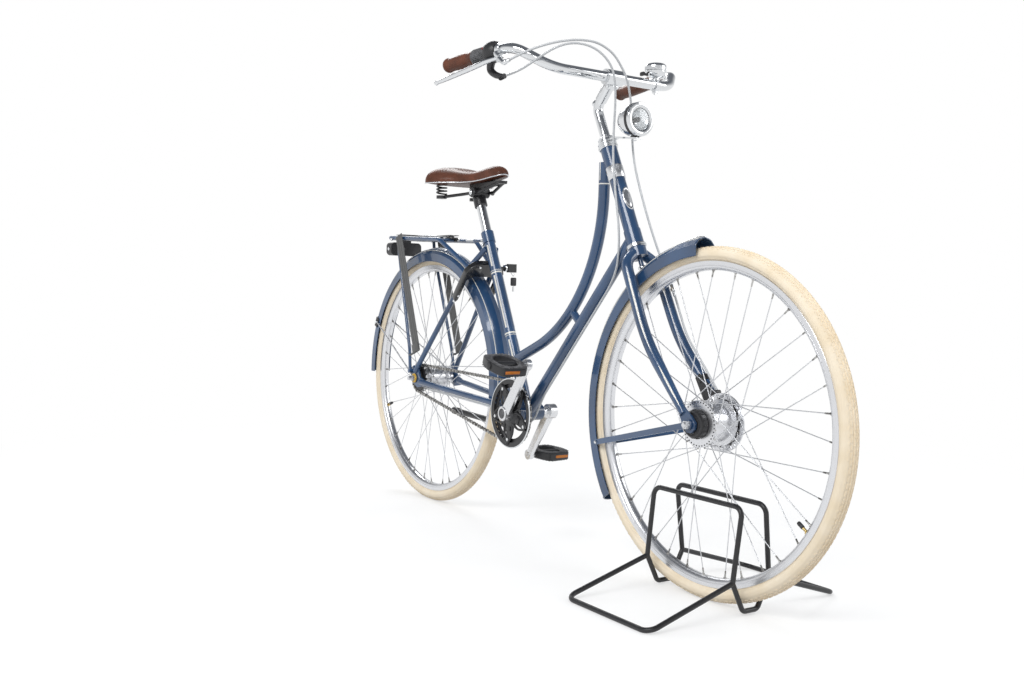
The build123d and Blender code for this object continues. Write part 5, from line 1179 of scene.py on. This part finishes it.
# Paper sweep: matt white, which shows white to the eye and to metal, and keeps the shadow.
floor_paint, tree = new_material("paper_matt_white")
path = add(tree, "LightPath")
seen = add(tree, "Math", {0: path.outputs["Is Camera Ray"], 1: path.outputs["Is Glossy Ray"]},
           operation="MAXIMUM")
seen = add(tree, "Math", {0: seen.outputs["Value"], 1: path.outputs["Is Transmission Ray"]},
           operation="MAXIMUM")
paper = add(tree, "BsdfDiffuse", values={"Color": (0.5, 0.5, 0.5, 1.0)})
glow = add(tree, "Emission", values={"Color": WHITE, "Strength": 0.5})
lit = add(tree, "AddShader", {0: paper.outputs["BSDF"], 1: glow.outputs["Emission"]})
blank = add(tree, "Emission", values={"Color": WHITE, "Strength": 1.0})
place = add(tree, "TexCoord")
distance = add(tree, "VectorMath", {0: place.outputs["Object"]}, operation="LENGTH")
far = add(tree, "MapRange", {"Value": distance.outputs["Value"]}, {"From Min": 1.0, "From Max": 2.2},
          interpolation_type="SMOOTHSTEP")
sweep = add(tree, "MixShader",
            {0: far.outputs["Result"], 1: lit.outputs["Shader"], 2: blank.outputs["Emission"]})
mixed = add(tree, "MixShader", {0: seen.outputs["Value"], 1: paper.outputs["BSDF"], 2: sweep.outputs["Shader"]})
add(tree, "OutputMaterial", {"Surface": mixed.outputs["Shader"]})
floor.data.materials.append(floor_paint)

# The studio: white all round to the eye, and for metal white at eye level under a darker ceiling.
world = bpy.data.worlds.new("studio")
scene.world = world
world.use_nodes = True
tree = world.node_tree
tree.nodes.clear()
path = add(tree, "LightPath")
direction = add(tree, "TexCoord")
height = add(tree, "SeparateXYZ", {"Vector": direction.outputs["Generated"]})
walls = add(tree, "ValToRGB", {"Fac": height.outputs["Z"]})
for stop, position, colour in zip(walls.color_ramp.elements, (0.12, 0.62), (WHITE, (0.16, 0.17, 0.19, 1.0))):
    stop.position = position
    stop.color = colour
mirrored = add(tree, "Background", {"Color": walls.outputs["Color"]}, {"Strength": 1.0})
soft = add(tree, "Background", values={"Color": (0.96, 0.98, 1.0, 1.0), "Strength": 0.72})
white = add(tree, "Background", values={"Color": WHITE, "Strength": 1.0})
seen = add(tree, "MixShader", {0: path.outputs["Is Glossy Ray"], 1: soft.outputs["Background"],
                               2: mirrored.outputs["Background"]})
clear = add(tree, "Math", {0: path.outputs["Is Camera Ray"], 1: path.outputs["Is Transmission Ray"]},
            operation="MAXIMUM")
shown = add(tree, "MixShader", {0: clear.outputs["Value"], 1: seen.outputs["Shader"],
                                2: white.outputs["Background"]})
add(tree, "OutputWorld", {"Surface": shown.outputs["Shader"]})


def softbox(name, place, target, size, power):
    """Rectangular studio lamp of a size in metres, turned to a target; power in watts."""
    lamp = bpy.data.lights.new(name, "AREA")
    lamp.shape = "RECTANGLE"
    lamp.size, lamp.size_y = size
    lamp.energy = power
    lamp_object = put(name, lamp)
    lamp_object.location = place
    lamp_object.rotation_euler = (Vector(target) - Vector(place)).to_track_quat("-Z", "Y").to_euler()


softbox("key_light", (1.5, -3.2, 3.0), (0, 0, 0.5), (2.4, 1.2), 80)
softbox("fill_light", (2.6, 3.0, 2.2), (0.2, 0, 0.5), (1.6, 1.6), 30)
softbox("back_light", (-3.0, 0.8, 2.8), (-0.2, 0, 0.6), (1.6, 1.0), 35)

camera_data = bpy.data.cameras.new("camera")
camera_data.sensor_width = 36.0
camera_data.lens = 36.32
camera = put("camera", camera_data)
aim_right = Vector((0.55637, 0.83056, 0.02500))
aim_up = Vector((-0.05385, 0.00601, 0.99853))
aim_back = aim_right.cross(aim_up).normalized()
aim = Matrix((aim_right, aim_up, aim_back)).transposed().to_4x4()
camera.matrix_world = Matrix.Translation((2.0010, -1.4416, 0.5916)) @ aim
scene.camera = camera
scene.view_settings.view_transform = "Standard"
